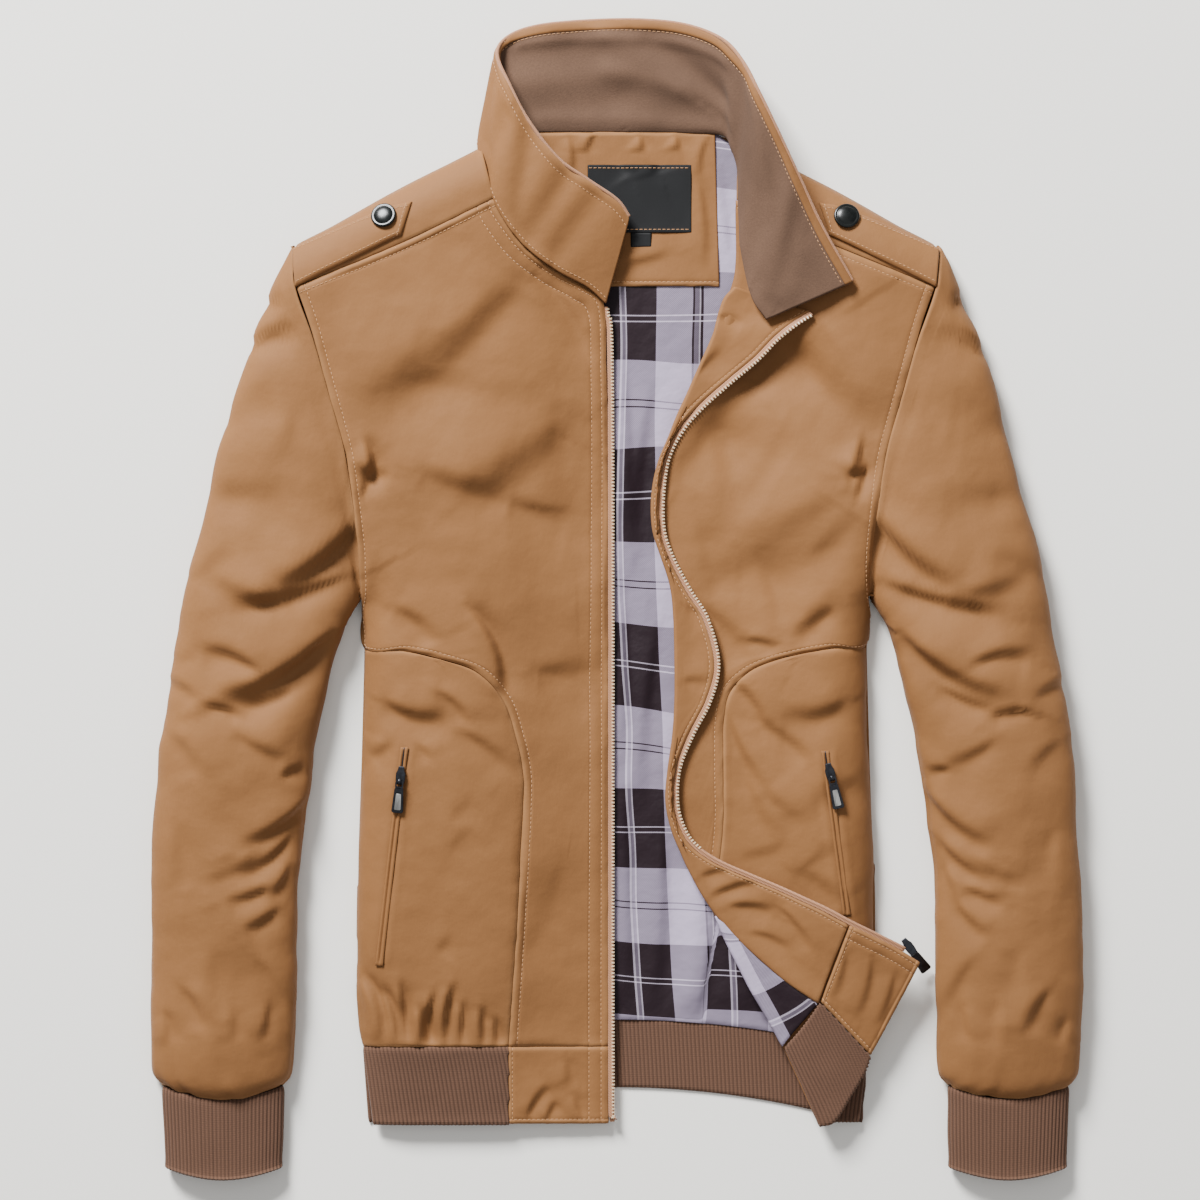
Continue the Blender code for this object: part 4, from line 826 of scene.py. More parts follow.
def knitted_rib(tree, shader):
    # Acrylic rib knit: matt and fuzzy, with shade painted into its grooves as darker colour. Its courses are
    # drawn coarse, so as to show.
    uv = add_node(tree, "UVMap", uv_map="cloth").outputs["UV"]
    courses = add_node(tree, "TexWave", {"Vector": uv, "Scale": WAVE_TURN / 0.0016},
                       bands_direction="Y").outputs["Fac"]
    fuzz = add_node(tree, "TexNoise", {"Vector": uv, "Scale": 900.0, "Detail": 3.0}).outputs["Fac"]
    base = settings().rib_color
    tone = add_node(tree, "Mix", {"Factor": fuzz, 6: tint(base, 0.72), 7: tint(base, 1.3)},
                    data_type="RGBA").outputs[2]
    # Painted shade: the knit's colour goes down to half its tone at the bottom of each rib groove.
    hollow = add_node(tree, "Attribute", attribute_name="worn_edge").outputs["Fac"]
    shade = add_node(tree, "Mix", {"Factor": hollow, 6: tone, 7: tint(base, 0.5)},
                     data_type="RGBA").outputs[2]
    bump = add_node(tree, "Bump", {"Height": courses, "Strength": 0.4, "Distance": 0.0002}).outputs[0]
    hairy = add_node(tree, "Bump", {"Height": fuzz, "Strength": 0.4, "Distance": 0.0002,
                                              "Normal": bump}).outputs[0]
    feed(shader, {"Base Color": shade, "Normal": hairy, "Roughness": 0.92, "Sheen Weight": 0.05,
                  "Specular IOR Level": 0.2})


def brushed_fleece(tree, shader):
    # Brushed polyester fleece: very matt, with a soft pile that catches light at its edge and lies unevenly.
    place = add_node(tree, "TexCoord").outputs["Object"]
    pile = add_node(tree, "TexNoise", {"Vector": place, "Scale": 700.0, "Detail": 5.0,
                                                 "Roughness": 0.7}).outputs["Fac"]
    brushed = add_node(tree, "TexNoise", {"Vector": place, "Scale": 26.0, "Detail": 3.0}).outputs["Fac"]
    mixed = add_node(tree, "Math", {0: pile, 1: brushed}, operation="MULTIPLY").outputs[0]
    base = settings().fleece_color
    tone = add_node(tree, "Mix", {"Factor": mixed, 6: tint(base, 0.68), 7: tint(base, 1.7)},
                    data_type="RGBA").outputs[2]
    bump = add_node(tree, "Bump", {"Height": pile, "Strength": 0.6, "Distance": 0.0004}).outputs[0]
    feed(shader, {"Base Color": tone, "Normal": bump, "Roughness": 0.97, "Sheen Weight": 0.02,
                  "Specular IOR Level": 0.2})


CHECK_REPEAT = 124.0               # from one check to the next, in millimetres
# Bands of the check from the start of a dark band, in millimetres, and their yarn.
CHECK_WARP = table(
    "start yarn",
    (0, "light"), (14.6, "dark"), (36.3, "line"), (37.3, "mid"), (40.1, "line"), (41.1, "dark"),
    (62.8, "light"), (88.7, "dark"), (90.4, "mid"), (93.8, "line"), (94.7, "dark"), (96.6, "light"),
)
CHECK_WEFT = table(
    "start yarn",
    (0, "dark"), (28.4, "line"), (29.4, "dark"), (32.9, "line"), (33.9, "dark"), (62.8, "light"),
    (90.4, "dark"), (91.5, "light"), (95, "dark"), (96.1, "light"),
)


def woven_check(tree, shader):
    # Yarn-dyed check in a light twill: warp and weft bands cross and mix, with a slight sheen. The twill is
    # drawn coarser than real, so that it shows.
    uv = add_node(tree, "UVMap", uv_map="cloth").outputs["UV"]
    split = add_node(tree, "SeparateXYZ", {0: uv})
    dark, light = settings().check_dark, settings().check_light
    yarns = {"dark": dark, "light": light, "line": settings().check_line,
             "mid": [a * 0.6 + b * 0.4 for a, b in zip(dark, light)]}
    crossed = []
    for axis, rows in (("X", CHECK_WARP), ("Y", CHECK_WEFT)):
        turns = add_node(tree, "Math", {0: split.outputs[axis], 1: 1.0 / (CHECK_REPEAT * MM)},
                         operation="MULTIPLY").outputs[0]
        place = add_node(tree, "Math", {0: turns}, operation="FRACT").outputs[0]
        ramp = add_node(tree, "ValToRGB", {"Fac": place})
        ramp.color_ramp.interpolation = "CONSTANT"
        stops = ramp.color_ramp.elements
        for number, row in enumerate(rows):
            stop = stops[number] if number < 2 else stops.new(row.start / CHECK_REPEAT)
            stop.position = row.start / CHECK_REPEAT
            stop.color = tint(yarns[row.yarn])
        crossed.append(ramp.outputs["Color"])
    twill = add_node(tree, "TexWave", {"Vector": uv, "Scale": WAVE_TURN / 0.0007},
                     bands_direction="DIAGONAL").outputs["Fac"]
    share = add_node(tree, "MapRange", {"Value": twill, "To Min": 0.38, "To Max": 0.62}).outputs[0]
    mixed = add_node(tree, "Mix", {"Factor": share, 6: crossed[0], 7: crossed[1]}, data_type="RGBA")
    place = add_node(tree, "TexCoord").outputs["Object"]
    crumple = add_node(tree, "TexNoise", {"Vector": place, "Scale": 70.0, "Detail": 3.0}).outputs["Fac"]
    small = add_node(tree, "Bump", {"Height": crumple, "Strength": 0.5, "Distance": 0.002}).outputs[0]
    fine = add_node(tree, "Bump", {"Height": twill, "Strength": 0.3, "Distance": 0.0001,
                                             "Normal": small}).outputs[0]
    feed(shader, {"Base Color": mixed.outputs[2], "Normal": fine, "Roughness": 0.6,
                  "Specular IOR Level": 0.25})


def fine_weave(tree, shader, pitch, direction, dark, light, relief):
    """A two-tone weave with one thread to each pitch, drawn coarser than real so that it shows."""
    uv = add_node(tree, "UVMap", uv_map="cloth").outputs["UV"]
    threads = add_node(tree, "TexWave", {"Vector": uv, "Scale": WAVE_TURN / pitch},
                       bands_direction=direction).outputs["Fac"]
    tone = add_node(tree, "Mix", {"Factor": threads, 6: tint(linear(dark)), 7: tint(linear(light))},
                    data_type="RGBA").outputs[2]
    bump = add_node(tree, "Bump", {"Height": threads, "Strength": 0.4, "Distance": relief}).outputs[0]
    feed(shader, {"Base Color": tone, "Normal": bump})


def speckled(tree, shader, scale, detail, dark, light, gloss=None, grain=None):
    """A surface mottled from dark to light, with its roughness over the spots and the grain of its bumps."""
    place = add_node(tree, "TexCoord").outputs["Object"]
    spots = add_node(tree, "TexNoise", {"Vector": place, "Scale": scale, "Detail": detail}).outputs["Fac"]
    tone = add_node(tree, "Mix", {"Factor": spots, 6: dark, 7: light}, data_type="RGBA").outputs[2]
    feed(shader, {"Base Color": tone})
    if gloss is not None:
        rough = add_node(tree, "MapRange", {"Value": spots, "To Min": gloss[0], "To Max": gloss[1]})
        feed(shader, {"Roughness": rough.outputs[0]})
    if grain is not None:
        rise = add_node(tree, "TexNoise", {"Vector": place, "Scale": grain[0], "Detail": grain[1]})
        bump = add_node(tree, "Bump", {"Height": rise.outputs["Fac"], "Strength": grain[2],
                                                 "Distance": 0.0001})
        feed(shader, {"Normal": bump.outputs[0]})


def satin_label(tree, shader):
    # Woven damask satin in black: fine ribs that shine along the weft.
    fine_weave(tree, shader, 0.0006, "Y", "#030405", "#0A0B0E", 0.0001)
    feed(shader, {"Roughness": 0.6, "Specular IOR Level": 0.25})


def enamelled_brass(tree, shader):
    # Brass press stud, pressed and stove enamelled black: glossy, with faint orange peel and worn high spots.
    speckled(tree, shader, 260.0, 5.0, tint(linear("#020303")), tint(linear("#0B0F0E")), (0.2, 0.34),
             (900.0, 2.0, 0.15))
    feed(shader, {"Specular IOR Level": 0.3})


def lacquered_zinc(tree, shader):
    # Die-cast zinc with black lacquer: half gloss, fine casting grain, bare grey where hands rub it.
    speckled(tree, shader, 340.0, 4.0, tint(linear("#15161A")), tint(linear("#3A3C42")), (0.24, 0.48),
             (1400.0, 3.0, 0.25))
    feed(shader, {"Metallic": 0.75})


def brushed_nickel(tree, shader):
    # Nickel plate, brushed lengthwise: the pale inlay of a pull tab.
    place = add_node(tree, "TexCoord").outputs["Object"]
    brushed = add_node(tree, "Mapping", {"Vector": place, "Scale": (4000.0, 300.0, 300.0)}).outputs[0]
    lines = add_node(tree, "TexNoise", {"Vector": brushed, "Scale": 1.0, "Detail": 2.0}).outputs["Fac"]
    tone = add_node(tree, "Mix", {"Factor": lines, 6: tint(linear("#8C8C8A")),
                                            7: tint(linear("#D0D0CC"))}, data_type="RGBA")
    feed(shader, {"Base Color": tone.outputs[2], "Roughness": 0.3, "Metallic": 1.0})


def zip_tape_cloth(tree, shader):
    # Polyester zip tape in a twill weave, a little paler and pinker than the shell.
    fine_weave(tree, shader, 0.0009, "DIAGONAL", "#8A5D40", "#A87856", 0.0002)
    feed(shader, {"Roughness": 0.7, "Sheen Weight": 0.15})


def moulded_teeth(tree, shader):
    # Acetal zip teeth, injection moulded in cream: half gloss with slight flow marks.
    speckled(tree, shader, 300.0, 2.0, tint(linear("#BBA180")), tint(linear("#E2CFB0")))
    feed(shader, {"Roughness": 0.38, "IOR": 1.48})


def sewing_thread(tree, shader):
    # Spun polyester thread: slightly mottled, with a dull lustre.
    base = settings().thread_color
    speckled(tree, shader, 1600.0, 1.0, tint(base, 0.75), tint(base, 1.25))
    feed(shader, {"Roughness": 0.6, "Sheen Weight": 0.3})


def matt_paper(tree, shader):
    # Seamless background paper: plain, pale and fully matt.
    feed(shader, {"Base Color": tint(linear("#F3F1EB")), "Roughness": 0.95, "Specular IOR Level": 0.1})


Finish = namedtuple("Finish", "material suffix build")
FINISHES = {
    "shell_cloth": Finish("woven_cotton_nylon_cloth", "_cloth", woven_shell_cloth),
    "knit_rib": Finish("knitted_acrylic_rib", "_knit", knitted_rib),
    "check_lining": Finish("yarn_dyed_check_lining", "_check", woven_check),
    "brushed_fleece": Finish("brushed_polyester_fleece", "_fleece", brushed_fleece),
    "label_satin": Finish("woven_satin_label", "_satin", satin_label),
    "snap_black": Finish("black_enamelled_brass", "_enamel", enamelled_brass),
    "zip_metal": Finish("black_lacquered_zinc", "_metal", lacquered_zinc),
    "pull_inlay": Finish("brushed_nickel_inlay", "", brushed_nickel),
    "zip_tape": Finish("woven_polyester_zip_tape", "_woven", zip_tape_cloth),
    "zip_teeth": Finish("moulded_acetal_teeth", "", moulded_teeth),
    "thread": Finish("spun_polyester_thread", "", sewing_thread),
    "paper": Finish("matt_background_paper", "", matt_paper),
}


def material(finish):
    """The material of a finish, made when it is first asked for."""
    name = FINISHES[finish].material
    if name not in bpy.data.materials:
        made = bpy.data.materials.new(name)
        made.use_nodes = True
        FINISHES[finish].build(made.node_tree, made.node_tree.nodes["Principled BSDF"])
    return bpy.data.materials[name]


# ---- sewing and zips


def line_at(piece, edge, offset):
    """Points and normals of the line that runs at offset from one edge of a piece."""
    lanes = piece.distances[edge], piece.grid, piece.normals
    if edge in ("top", "bottom"):
        lanes = [np.swapaxes(lane, 0, 1) for lane in lanes]
    points, normals = [], []
    for distance, grid, normal in zip(*lanes):
        order = np.argsort(distance)
        near = distance[order]
        if near[-1] >= offset:
            points.append(at_lengths(grid[order], near, [offset])[0])
            normals.append(at_lengths(normal[order], near, [offset])[0])
    return np.array(points), np.array(normals)


def rings_round(centres, side, up, radius, count):
    """Rings of count points round centres, in the plane of side and up."""
    turn = 2 * math.pi * np.arange(count) / count
    spokes = side[:, None] * np.cos(turn)[:, None] + up[:, None] * np.sin(turn)[:, None]
    return (centres[:, None] + spokes * np.reshape(radius, (-1, 1, 1))).reshape(-1, 3)


def ring_faces(rings, count, capped=True):
    """Faces of a tube of rings: with a flat cap at each end, or else closed from last ring to first."""
    faces = []
    for ring in range(rings - 1 if capped else rings):
        here, there = ring * count, (ring + 1) % rings * count
        for k in range(count):
            n = (k + 1) % count
            faces.append((here + k, here + n, there + n, there + k))
    if capped:
        faces += [tuple(range(count))[::-1], tuple(range((rings - 1) * count, rings * count))]
    return faces


def joined(name, parts, finish, nodes=(), body=JACKET, sharp=None):
    """One object from several closed parts, each its points and its faces."""
    vertices, faces = [], []
    for points, polygons in parts:
        first = len(vertices)
        vertices += [tuple(point) for point in points]
        faces += [tuple(first + k for k in polygon) for polygon in polygons]
    mesh = bpy.data.meshes.new(name)
    mesh.from_pydata((np.array(vertices) * MM).tolist(), [], faces)
    return attach(finish_mesh(name, mesh, finish, sharp), nodes, body)


STITCH_START, STITCH_SHARE = 0.15, 0.82     # of the pitch: where a stitch starts and how long it is
STITCH = table(                             # along a stitch: its width and its height in radii of the thread
    "share width height", (0, 0.35, -1.3), (0.16, 1, 0.35), (0.84, 1, 0.35), (1, 0.35, -1.3),
)


def sew(name, *lines):
    """Topstitching along lines, each a piece, its edge and the distance in from it; its ends are sunk."""
    pitch, radius = settings_mm("stitch_pitch"), settings_mm("thread_radius")
    share, width, height = np.array(STITCH).T
    parts = []
    for line in lines:
        points, normals = line_at(*line)
        lengths = run_length(points)
        for number in range(int(lengths[-1] / pitch)):
            span = (number + STITCH_START + share * STITCH_SHARE) * pitch
            place, up = at_lengths(points, lengths, span), unit(at_lengths(normals, lengths, span))
            side = unit(np.cross(up, place[-1] - place[0]))
            centres = place + up * (radius * height)[:, None]
            parts.append((rings_round(centres, side, up, radius * width, 5), ring_faces(len(STITCH), 5)))
    joined(name, parts, "thread")


TOOTH = table(                      # outline of a tooth from above, along the zip and out from its tape
    "run out",
    (-0.6, -0.8), (0.6, -0.8), (0.6, 0.1), (0.36, 0.3), (0.36, 0.6), (0.65, 0.85), (0.65, 1.3),
    (-0.65, 1.3), (-0.65, 0.85), (-0.36, 0.6), (-0.36, 0.3), (-0.6, 0.1),
)
TOOTH_LEVELS = table("z shrink", (-0.75, 0.9), (-0.5, 1.0), (0.35, 1.0), (0.65, 0.75))


def zip_teeth(name, points, normals):
    """Moulded teeth along a line, pointing to the left of its run."""
    pitch, lengths = settings_mm("tooth_pitch"), run_length(points)
    parts = []
    for number in range(int(lengths[-1] / pitch)):
        centre, ahead = at_lengths(points, lengths, [(number + 0.5) * pitch, (number + 0.9) * pitch])
        up = unit(at_lengths(normals, lengths, [(number + 0.5) * pitch])[0])
        run = unit(ahead - centre)
        side = np.cross(up, run)
        corners = [centre + (run * corner.run + side * corner.out) * level.shrink + up * level.z
                   for level in TOOTH_LEVELS for corner in TOOTH]
        parts.append((corners, ring_faces(len(TOOTH_LEVELS), len(TOOTH))))
    joined(name, parts, "zip_teeth", sharp=0)


def tube_on(name, points, radius, finish, sides=10):
    """A round cord through points."""
    runs = unit(np.gradient(points, axis=0))
    side = unit(np.cross(runs, (0.0, 0.0, 1.0)))
    rings = rings_round(points, side, np.cross(side, runs), radius, sides)
    made = joined(name, [(rings, ring_faces(len(points), sides))], finish)
    made.data.uv_layers.new(name="cloth")


# ---- body

def make_back():
    y = np.linspace(BACK[0].y, BACK[-1].y, 60)
    half, rise = read_off(BACK, y, "half_width") - SEAM, read_off(BACK, y, "rise")
    across = np.linspace(-1, 1, 45)
    power = np.where(y > 250.0, 6.0, 2.0)           # the neck edge runs straight up to the collar's seam
    bow = 1 - np.abs(across) ** power[:, None]
    plan = np.dstack([half[:, None] * across, y[:, None] + rise[:, None] * bow])
    base = np.dstack([plan, np.full(plan.shape[:2], SHELL)])
    upward = np.broadcast_to([0.0, 0.0, 1.0], base.shape)
    sheet("back_body", base, SHELL, "shell_cloth", base, "laid", [], normals=upward)

    # The lining is cut straight past the shoulder's corner.
    kept = [row for row in BACK if row.y != SHOULDER_CORNER_Y]
    y = np.linspace(kept[0].y, kept[-1].y - 1.2, int(500 / settings_mm("grid_spacing")))
    half, rise = read_off(kept, y, "half_width") - LINING_INSET, read_off(kept, y, "rise")
    in_strip = np.linspace(-0.1, 0.62, 66)
    across = np.concatenate([np.linspace(-1, -0.12, 22), in_strip, np.linspace(0.65, 1, 10)])
    plan = np.dstack([half[:, None] * across, y[:, None] + rise[:, None] * (1 - across ** 2)])
    to_collar = (NECK_Y - plan[-1, :, 1]) * smooth_step((80.0 - np.abs(plan[-1, :, 0])) / 8.0)
    plan[..., 1] += to_collar * smooth_step((plan[..., 1] - 280.0) / 45.0)
    x, y = plan[..., 0], plan[..., 1]
    past_fold = smooth_step(-from_line(x, y, LINING_TUCK)[0] / 3.0) * smooth_step((-180.0 - y) / 20.0)
    warp = x + WARP_START - read_off(DRIFT, y, "right") + LINING_TUCKED * past_fold
    weft = read_off(SHRUNK, y, "cloth") - 9.0 * past_fold
    slant = 0.1 * np.maximum(x, 0.0) * smooth_step((60.0 - y) / 150.0)
    drift = np.dstack([warp + 1.0 * np.sin(y / 41.0) + 1.2 * uneven(x, y, 45.0, 5),
                       weft + slant + 1.2 * np.sin(x / 17.0 + y / 40.0) + 2.0 * uneven(x, y, 50.0, 6)])
    cloth("back_lining", plan, lining_height, 0.0, LINING, "check_lining", {}, ["back_body"],
          folds=LINING_FOLDS, uv=drift * MM, seed=3, rough=0.5)

    plan = panel([(-56, 335.2), (-20, NECK_Y), (20, NECK_Y), (71, 335.0)],
                 [(-56, 225), (-20, 225), (20, 225), (74, 225)], 2.2,
                 {"left": (3.0,), "right": (3.0,), "top": (), "bottom": ()})
    facing = cloth("back_neck_facing", plan, lining_height, LINING + SEAM, FACING, "shell_cloth",
                   {"left": (), "right": (3.0,)}, ["back_lining"], folds=NECK_GATHERS, seed=4, rough=0.3)
    above = LINING + FACING + 2 * SEAM
    plan = panel([(-19.8, 263.5), (-19.8, 311.8)], [(54.4, 263.5), (54.4, 311.8)], 1.8,
                 {edge: (2.0,) for edge in EDGES})
    label = cloth("neck_label", plan, lining_height, above, LABEL, "label_satin", {}, ["back_neck_facing"],
                  folds=LABEL_BENDS, seed=5, rough=0.25)
    plan = panel([(11.2, 253), (11.2, 262.9)], [(25.6, 253), (25.6, 262.9)], 1.2, {})
    cloth("size_tag", plan, lining_height, above, TAG, "label_satin", {}, ["back_neck_facing"], seed=6,
          rough=0.1)
    sew("neck_stitching", (facing, "right", 3.0), (label, "top", 2.0), (label, "bottom", 2.0))


# The loose fold that hides some of the lining, and the width it hides.
LINING_TUCK, LINING_TUCKED = [(60, -325), (64, -275), (72, -238), (84, -205)], 56.0
WARP_START = 34.9                   # from the first dark warp band to the middle of the back
# How the lining's length is taken up: its place on the back and its place in the flat cloth.
SHRUNK = table("y cloth", (-400, -495.8), (-297.4, -372), (-192.2, -248), (-78.5, -124), (41.8, 0),
               (171.4, 124), (400, 352.6))
# How far the warp leans over to the right.
DRIFT = table("y right", (-300, 13.5), (-190, 9.5), (-75, 3.5), (0, 1), (230, 0))
LINING_FOLDS = table(
    FOLD_COLUMNS,
    (8, 170, 14, 40, 3, 1, 6, 0.8), (30, 150, 22, 20, -4, 1, 7, 0.8), (6, 20, 12, -120, 3, 1, 6, 0.9),
    (34, -20, 26, -150, -3, 1.1, 7, 0.9), (10, -140, 16, -290, 2, 1, 6, 0.8),
    (38, -170, 34, -300, 4, 1.2, 7, 0.9), (70, -240, 64, -300, 2, 1, 5, 0.8),
    (84, 250, 80, 320, 1, 0.8, 4, 0.5),
)
NECK_GATHERS = table(
    FOLD_COLUMNS,
    (-32, 333, -28, 306, 2, 0.6, 3.4, 1.5), (-14, 333, -18, 321, -1, 0.6, 2.8, 1.6),
    (18, 334, 22, 322, 1, 0.6, 2.8, 1.5), (44, 334, 48, 323, 1, 0.6, 2.8, 1.5),
    (62, 300, 68, 240, 3, 0.6, 4, 1), (-6, 240, 40, 246, -3, 0.6, 4, 1),
    (67, 330, 64, 306, -2, 0.5, 2.6, 1),
)
LABEL_BENDS = table(FOLD_COLUMNS, (-2, 318, 8, 303, 0, 0.7, 5, 0.5), (30, 317, 33, 306, 0, 0.6, 5, 0.4))


ON_BODY = {"rests_on": ["back_lining"]}


def make_front(side, sign, seam, inner, side_edge, side_inner, shoulder, folds, zip_stitches, seed):
    """One front with its side panel and yoke, between their edges; sign is 1 on the wearer's right."""
    spacing = settings_mm("grid_spacing")
    outer = np.vstack([along(mirrored(ARMHOLE[1:], sign), 8) - [(LAP * sign, 0.0)], seam])
    edges = {"left": (5.8,), "right": zip_stitches, "top": (5.0,), "bottom": ()}
    yoke_seam = mirrored(YOKE_SEAM, sign)
    plan = panel(outer, inner, spacing, edges, top=along(yoke_seam[::-1], 30) - [(0, 0.6)])
    front = cloth(side + "_front", plan, body_height, -SHELL, SHELL, "shell_cloth", edges, folds=folds,
                  seed=seed + 1, rough=0.8, broad=2.2, **ON_BODY)
    edges = {"left": ROLLED, "right": (), "top": (), "bottom": ()}
    plan = panel(side_edge, side_inner, spacing, edges, top=curve(seam[:3]) - [(0.0, SEAM)])
    pocket = next(row for row in POCKETS if row.side == side)
    cloth(side + "_side_panel", plan, body_height, -SHELL, SHELL, "shell_cloth", edges, folds=folds,
          seed=seed + 2, rough=0.8, broad=1.4, extra=pocket_relief(pocket), **ON_BODY)
    edges = {"left": None, "right": (), "top": (), "bottom": ()}
    plan = panel(along(shoulder, 9), along(yoke_seam, 9), spacing, edges)
    cloth(side + "_yoke", plan, body_height, -SHELL, SHELL, "shell_cloth", edges, seed=seed + 3, **ON_BODY)
    return front


def make_hem_rib(name, top, bottom, width, seed):
    """A knit rib on the body between the seam and the hem, with ribs for that width."""
    columns, pitch = rib_columns(width)
    cloth(name, loft([top, bottom], 26, columns), body_height, -RIB, RIB, "knit_rib", {}, ribs=pitch,
          seed=seed, held="gathered", extra=hem_edge, **ON_BODY)


def make_right_front():
    seam = along(PANEL_SEAM_RIGHT, 14)
    inner = RIGHT_INNER + [(-5.4, y) for y in np.linspace(80.0, HEM_SEAM_Y, len(seam))]
    front = make_front("right", 1, seam, inner, RIGHT_SIDE, seam[2:] - [(SEAM, 0.0)], SHOULDER,
                       RIGHT_FOLDS, (5.0, 13.7), 10)
    edges = {"left": (2.5,), "right": (5.0, 13.7), "top": (), "bottom": (3.0,)}
    plan = panel([(-76.6, RIB_TOP_Y), (-76.6, HEM_Y)], [(-5.4, RIB_TOP_Y), (-5.4, HEM_Y)], 2.2, edges)
    band = cloth("right_hem_band", plan, body_height, -RIB, RIB, "shell_cloth", edges, folds=BAND_FOLDS,
                 seed=14, **ON_BODY)
    make_hem_rib("right_hem_rib", [(-181.0, RIB_TOP_Y), (-129.0, RIB_TOP_Y), (-77.3, RIB_TOP_Y)],
                 [(-173.6, HEM_Y), (-125.0, HEM_Y), (-77.3, HEM_Y)], 100.0, 15)
    sew("right_front_stitching", (front, "right", 5.0), (front, "right", 13.7), (front, "left", 5.8),
        (front, "top", 5.0), (band, "right", 5.0), (band, "right", 13.7), (band, "left", 2.5),
        (band, "bottom", 3.0))


BAND_FOLDS = table(
    FOLD_COLUMNS,
    (-62, -372, -46, -352, 2, 1.4, 4, 1), (-48, -374, -40, -362, 1, 1.2, 3.5, 0.9),
    (-34, -330, -30, -352, 1, 0.8, 5, 0.5), (-22, -372, -26, -356, 1, 0.9, 3.5, 0.7),
)


def hem_edge(x, y, distances):
    """The knit's folded hem: fuller along its lower edge, drawn in at the seam."""
    return 0.5 * np.exp(-(distances["bottom"] / 4.0) ** 2) - 0.9 * np.exp(-(distances["top"] / 1.6) ** 2)


def pocket_relief(pocket):
    """Two welts beside the pocket's slit and the sunk line between them."""
    line = [pocket.tape_from, pocket.tape_to]

    def relief(x, y, distances):
        away, place = from_line(x, y, line)
        within = smooth_step(place / 0.02) * smooth_step((1 - place) / 0.02)
        return within * (0.7 * hump(np.abs(away) - 5.5, 2.2) - 0.5 * hump(away, 2.2))

    return relief


def make_left_front():
    seam = along(PANEL_SEAM_LEFT, 13)
    inner = np.vstack([LEFT_INNER, along(LEFT_INNER_LOWER, len(seam))])
    side_inner = list(seam[2:] + [(SEAM, 0.0)]) + [(88.3, -259.0), (109.6, -298.8), (121.4, HEM_SEAM_Y)]
    shoulder = [(88.0, 328.6)] + mirrored(SHOULDER[1:])
    front = make_front("left", -1, seam, inner, LEFT_SIDE, side_inner, shoulder, LEFT_FOLDS,
                       None, 20)
    make_hem_rib("left_side_rib", [(181.0, RIB_TOP_Y), (152.0, RIB_TOP_Y), (122.6, RIB_TOP_Y)],
                 [(174.5, -375.0), (162.0, -375.0), (149.5, -375.0)], 52.0, 25)
    sew("left_front_stitching", (front, "left", 5.8), (front, "top", 5.0))


def make_back_rib():
    columns, pitch = rib_columns(362.0)
    rows = []
    for y, rise, half in ((HEM_SEAM_Y - 0.9, 19.0, 181.0), (-376.0, 25.4, 177.0)):
        t = np.linspace(-1, 1, 25)
        rows.append(list(zip(half * t, y + rise * (1 - t * t))))
    plan = loft(rows, 22, columns)
    cloth("back_hem_rib", plan, floor_height, 0.0, CORNER, "knit_rib", {}, ribs=pitch, seed=26,
          held="gathered", rough=0.0)


# ---- the turned-out edge

def on_corner_lining(plan):
    distances = border(np.dstack([plan, np.zeros(plan.shape[:2])]))
    return np.dstack([distances["top"] - CORNER_DARK_BAND[0], distances["left"] - CORNER_DARK_BAND[1]]) * MM


def roll_under(grid, radius, drop):
    """Adds the cloth that rolls down at the first column of a grid, round a fold of that radius."""
    away = grid[:, 0] - grid[:, 1]
    away[:, 2] = 0.0
    away = unit(away)
    down = np.array([0.0, 0.0, -1.0])
    turns = np.linspace(0, math.pi, 7)[1:]
    added = [grid[:, 0] + away * radius * math.sin(a) + down * drop * (1 - math.cos(a)) / 2 for a in turns]
    return np.concatenate([np.stack(added[::-1], axis=1), grid], axis=1)


def turned_piece(name, plan, lift, thickness, finish, edges, rolled=None, uv=None, folds=(), seed=1, ribs=0.0,
                 rough=0.3):
    """A piece on the turned-out front; rolled is how far its first column rolls down at the fold."""
    x, y = plan[..., 0], plan[..., 1]
    base, normals = laid(plan, facing_height, lift + thickness)
    distances = border(base)
    stand = crease(x, y, folds) + sewn_relief(distances, edges, seed) + rough * uneven(x, y, 17.0, seed + 50)
    wear = seam_wear(distances, edges)
    if ribs:
        wave = rib_wave(distances["left"], ribs)
        stand += wave
        # On a knit the colour mark is painted shade, darker in the grooves between its ribs.
        wear = groove(wave)
    if rolled:
        stand += FOLD_RISE * hump(distances["left"], 9.0)
    grid = base + normals * stand[..., None]
    piece = Piece(grid, normals_of(grid), distances)
    uv = plan_uv(grid, False) if uv is None else uv
    if rolled:
        grid = base = roll_under(grid, 2.2, rolled)
        extra = grid.shape[1] - x.shape[1]
        reach = np.linspace(rolled * 1.6, rolled * 1.6 / extra, extra) * MM
        uv = np.concatenate([uv[:, :1] + unit(uv[:, :1] - uv[:, 1:2]) * reach[None, :, None], uv], axis=1)
        wear = np.concatenate([np.full((len(wear), extra), 0.4), wear], axis=1)
    sheet(name, grid, thickness, finish, base, "folded", ["left_front"], uv=uv, normals=normals_of(grid),
          wear=wear)
    return piece


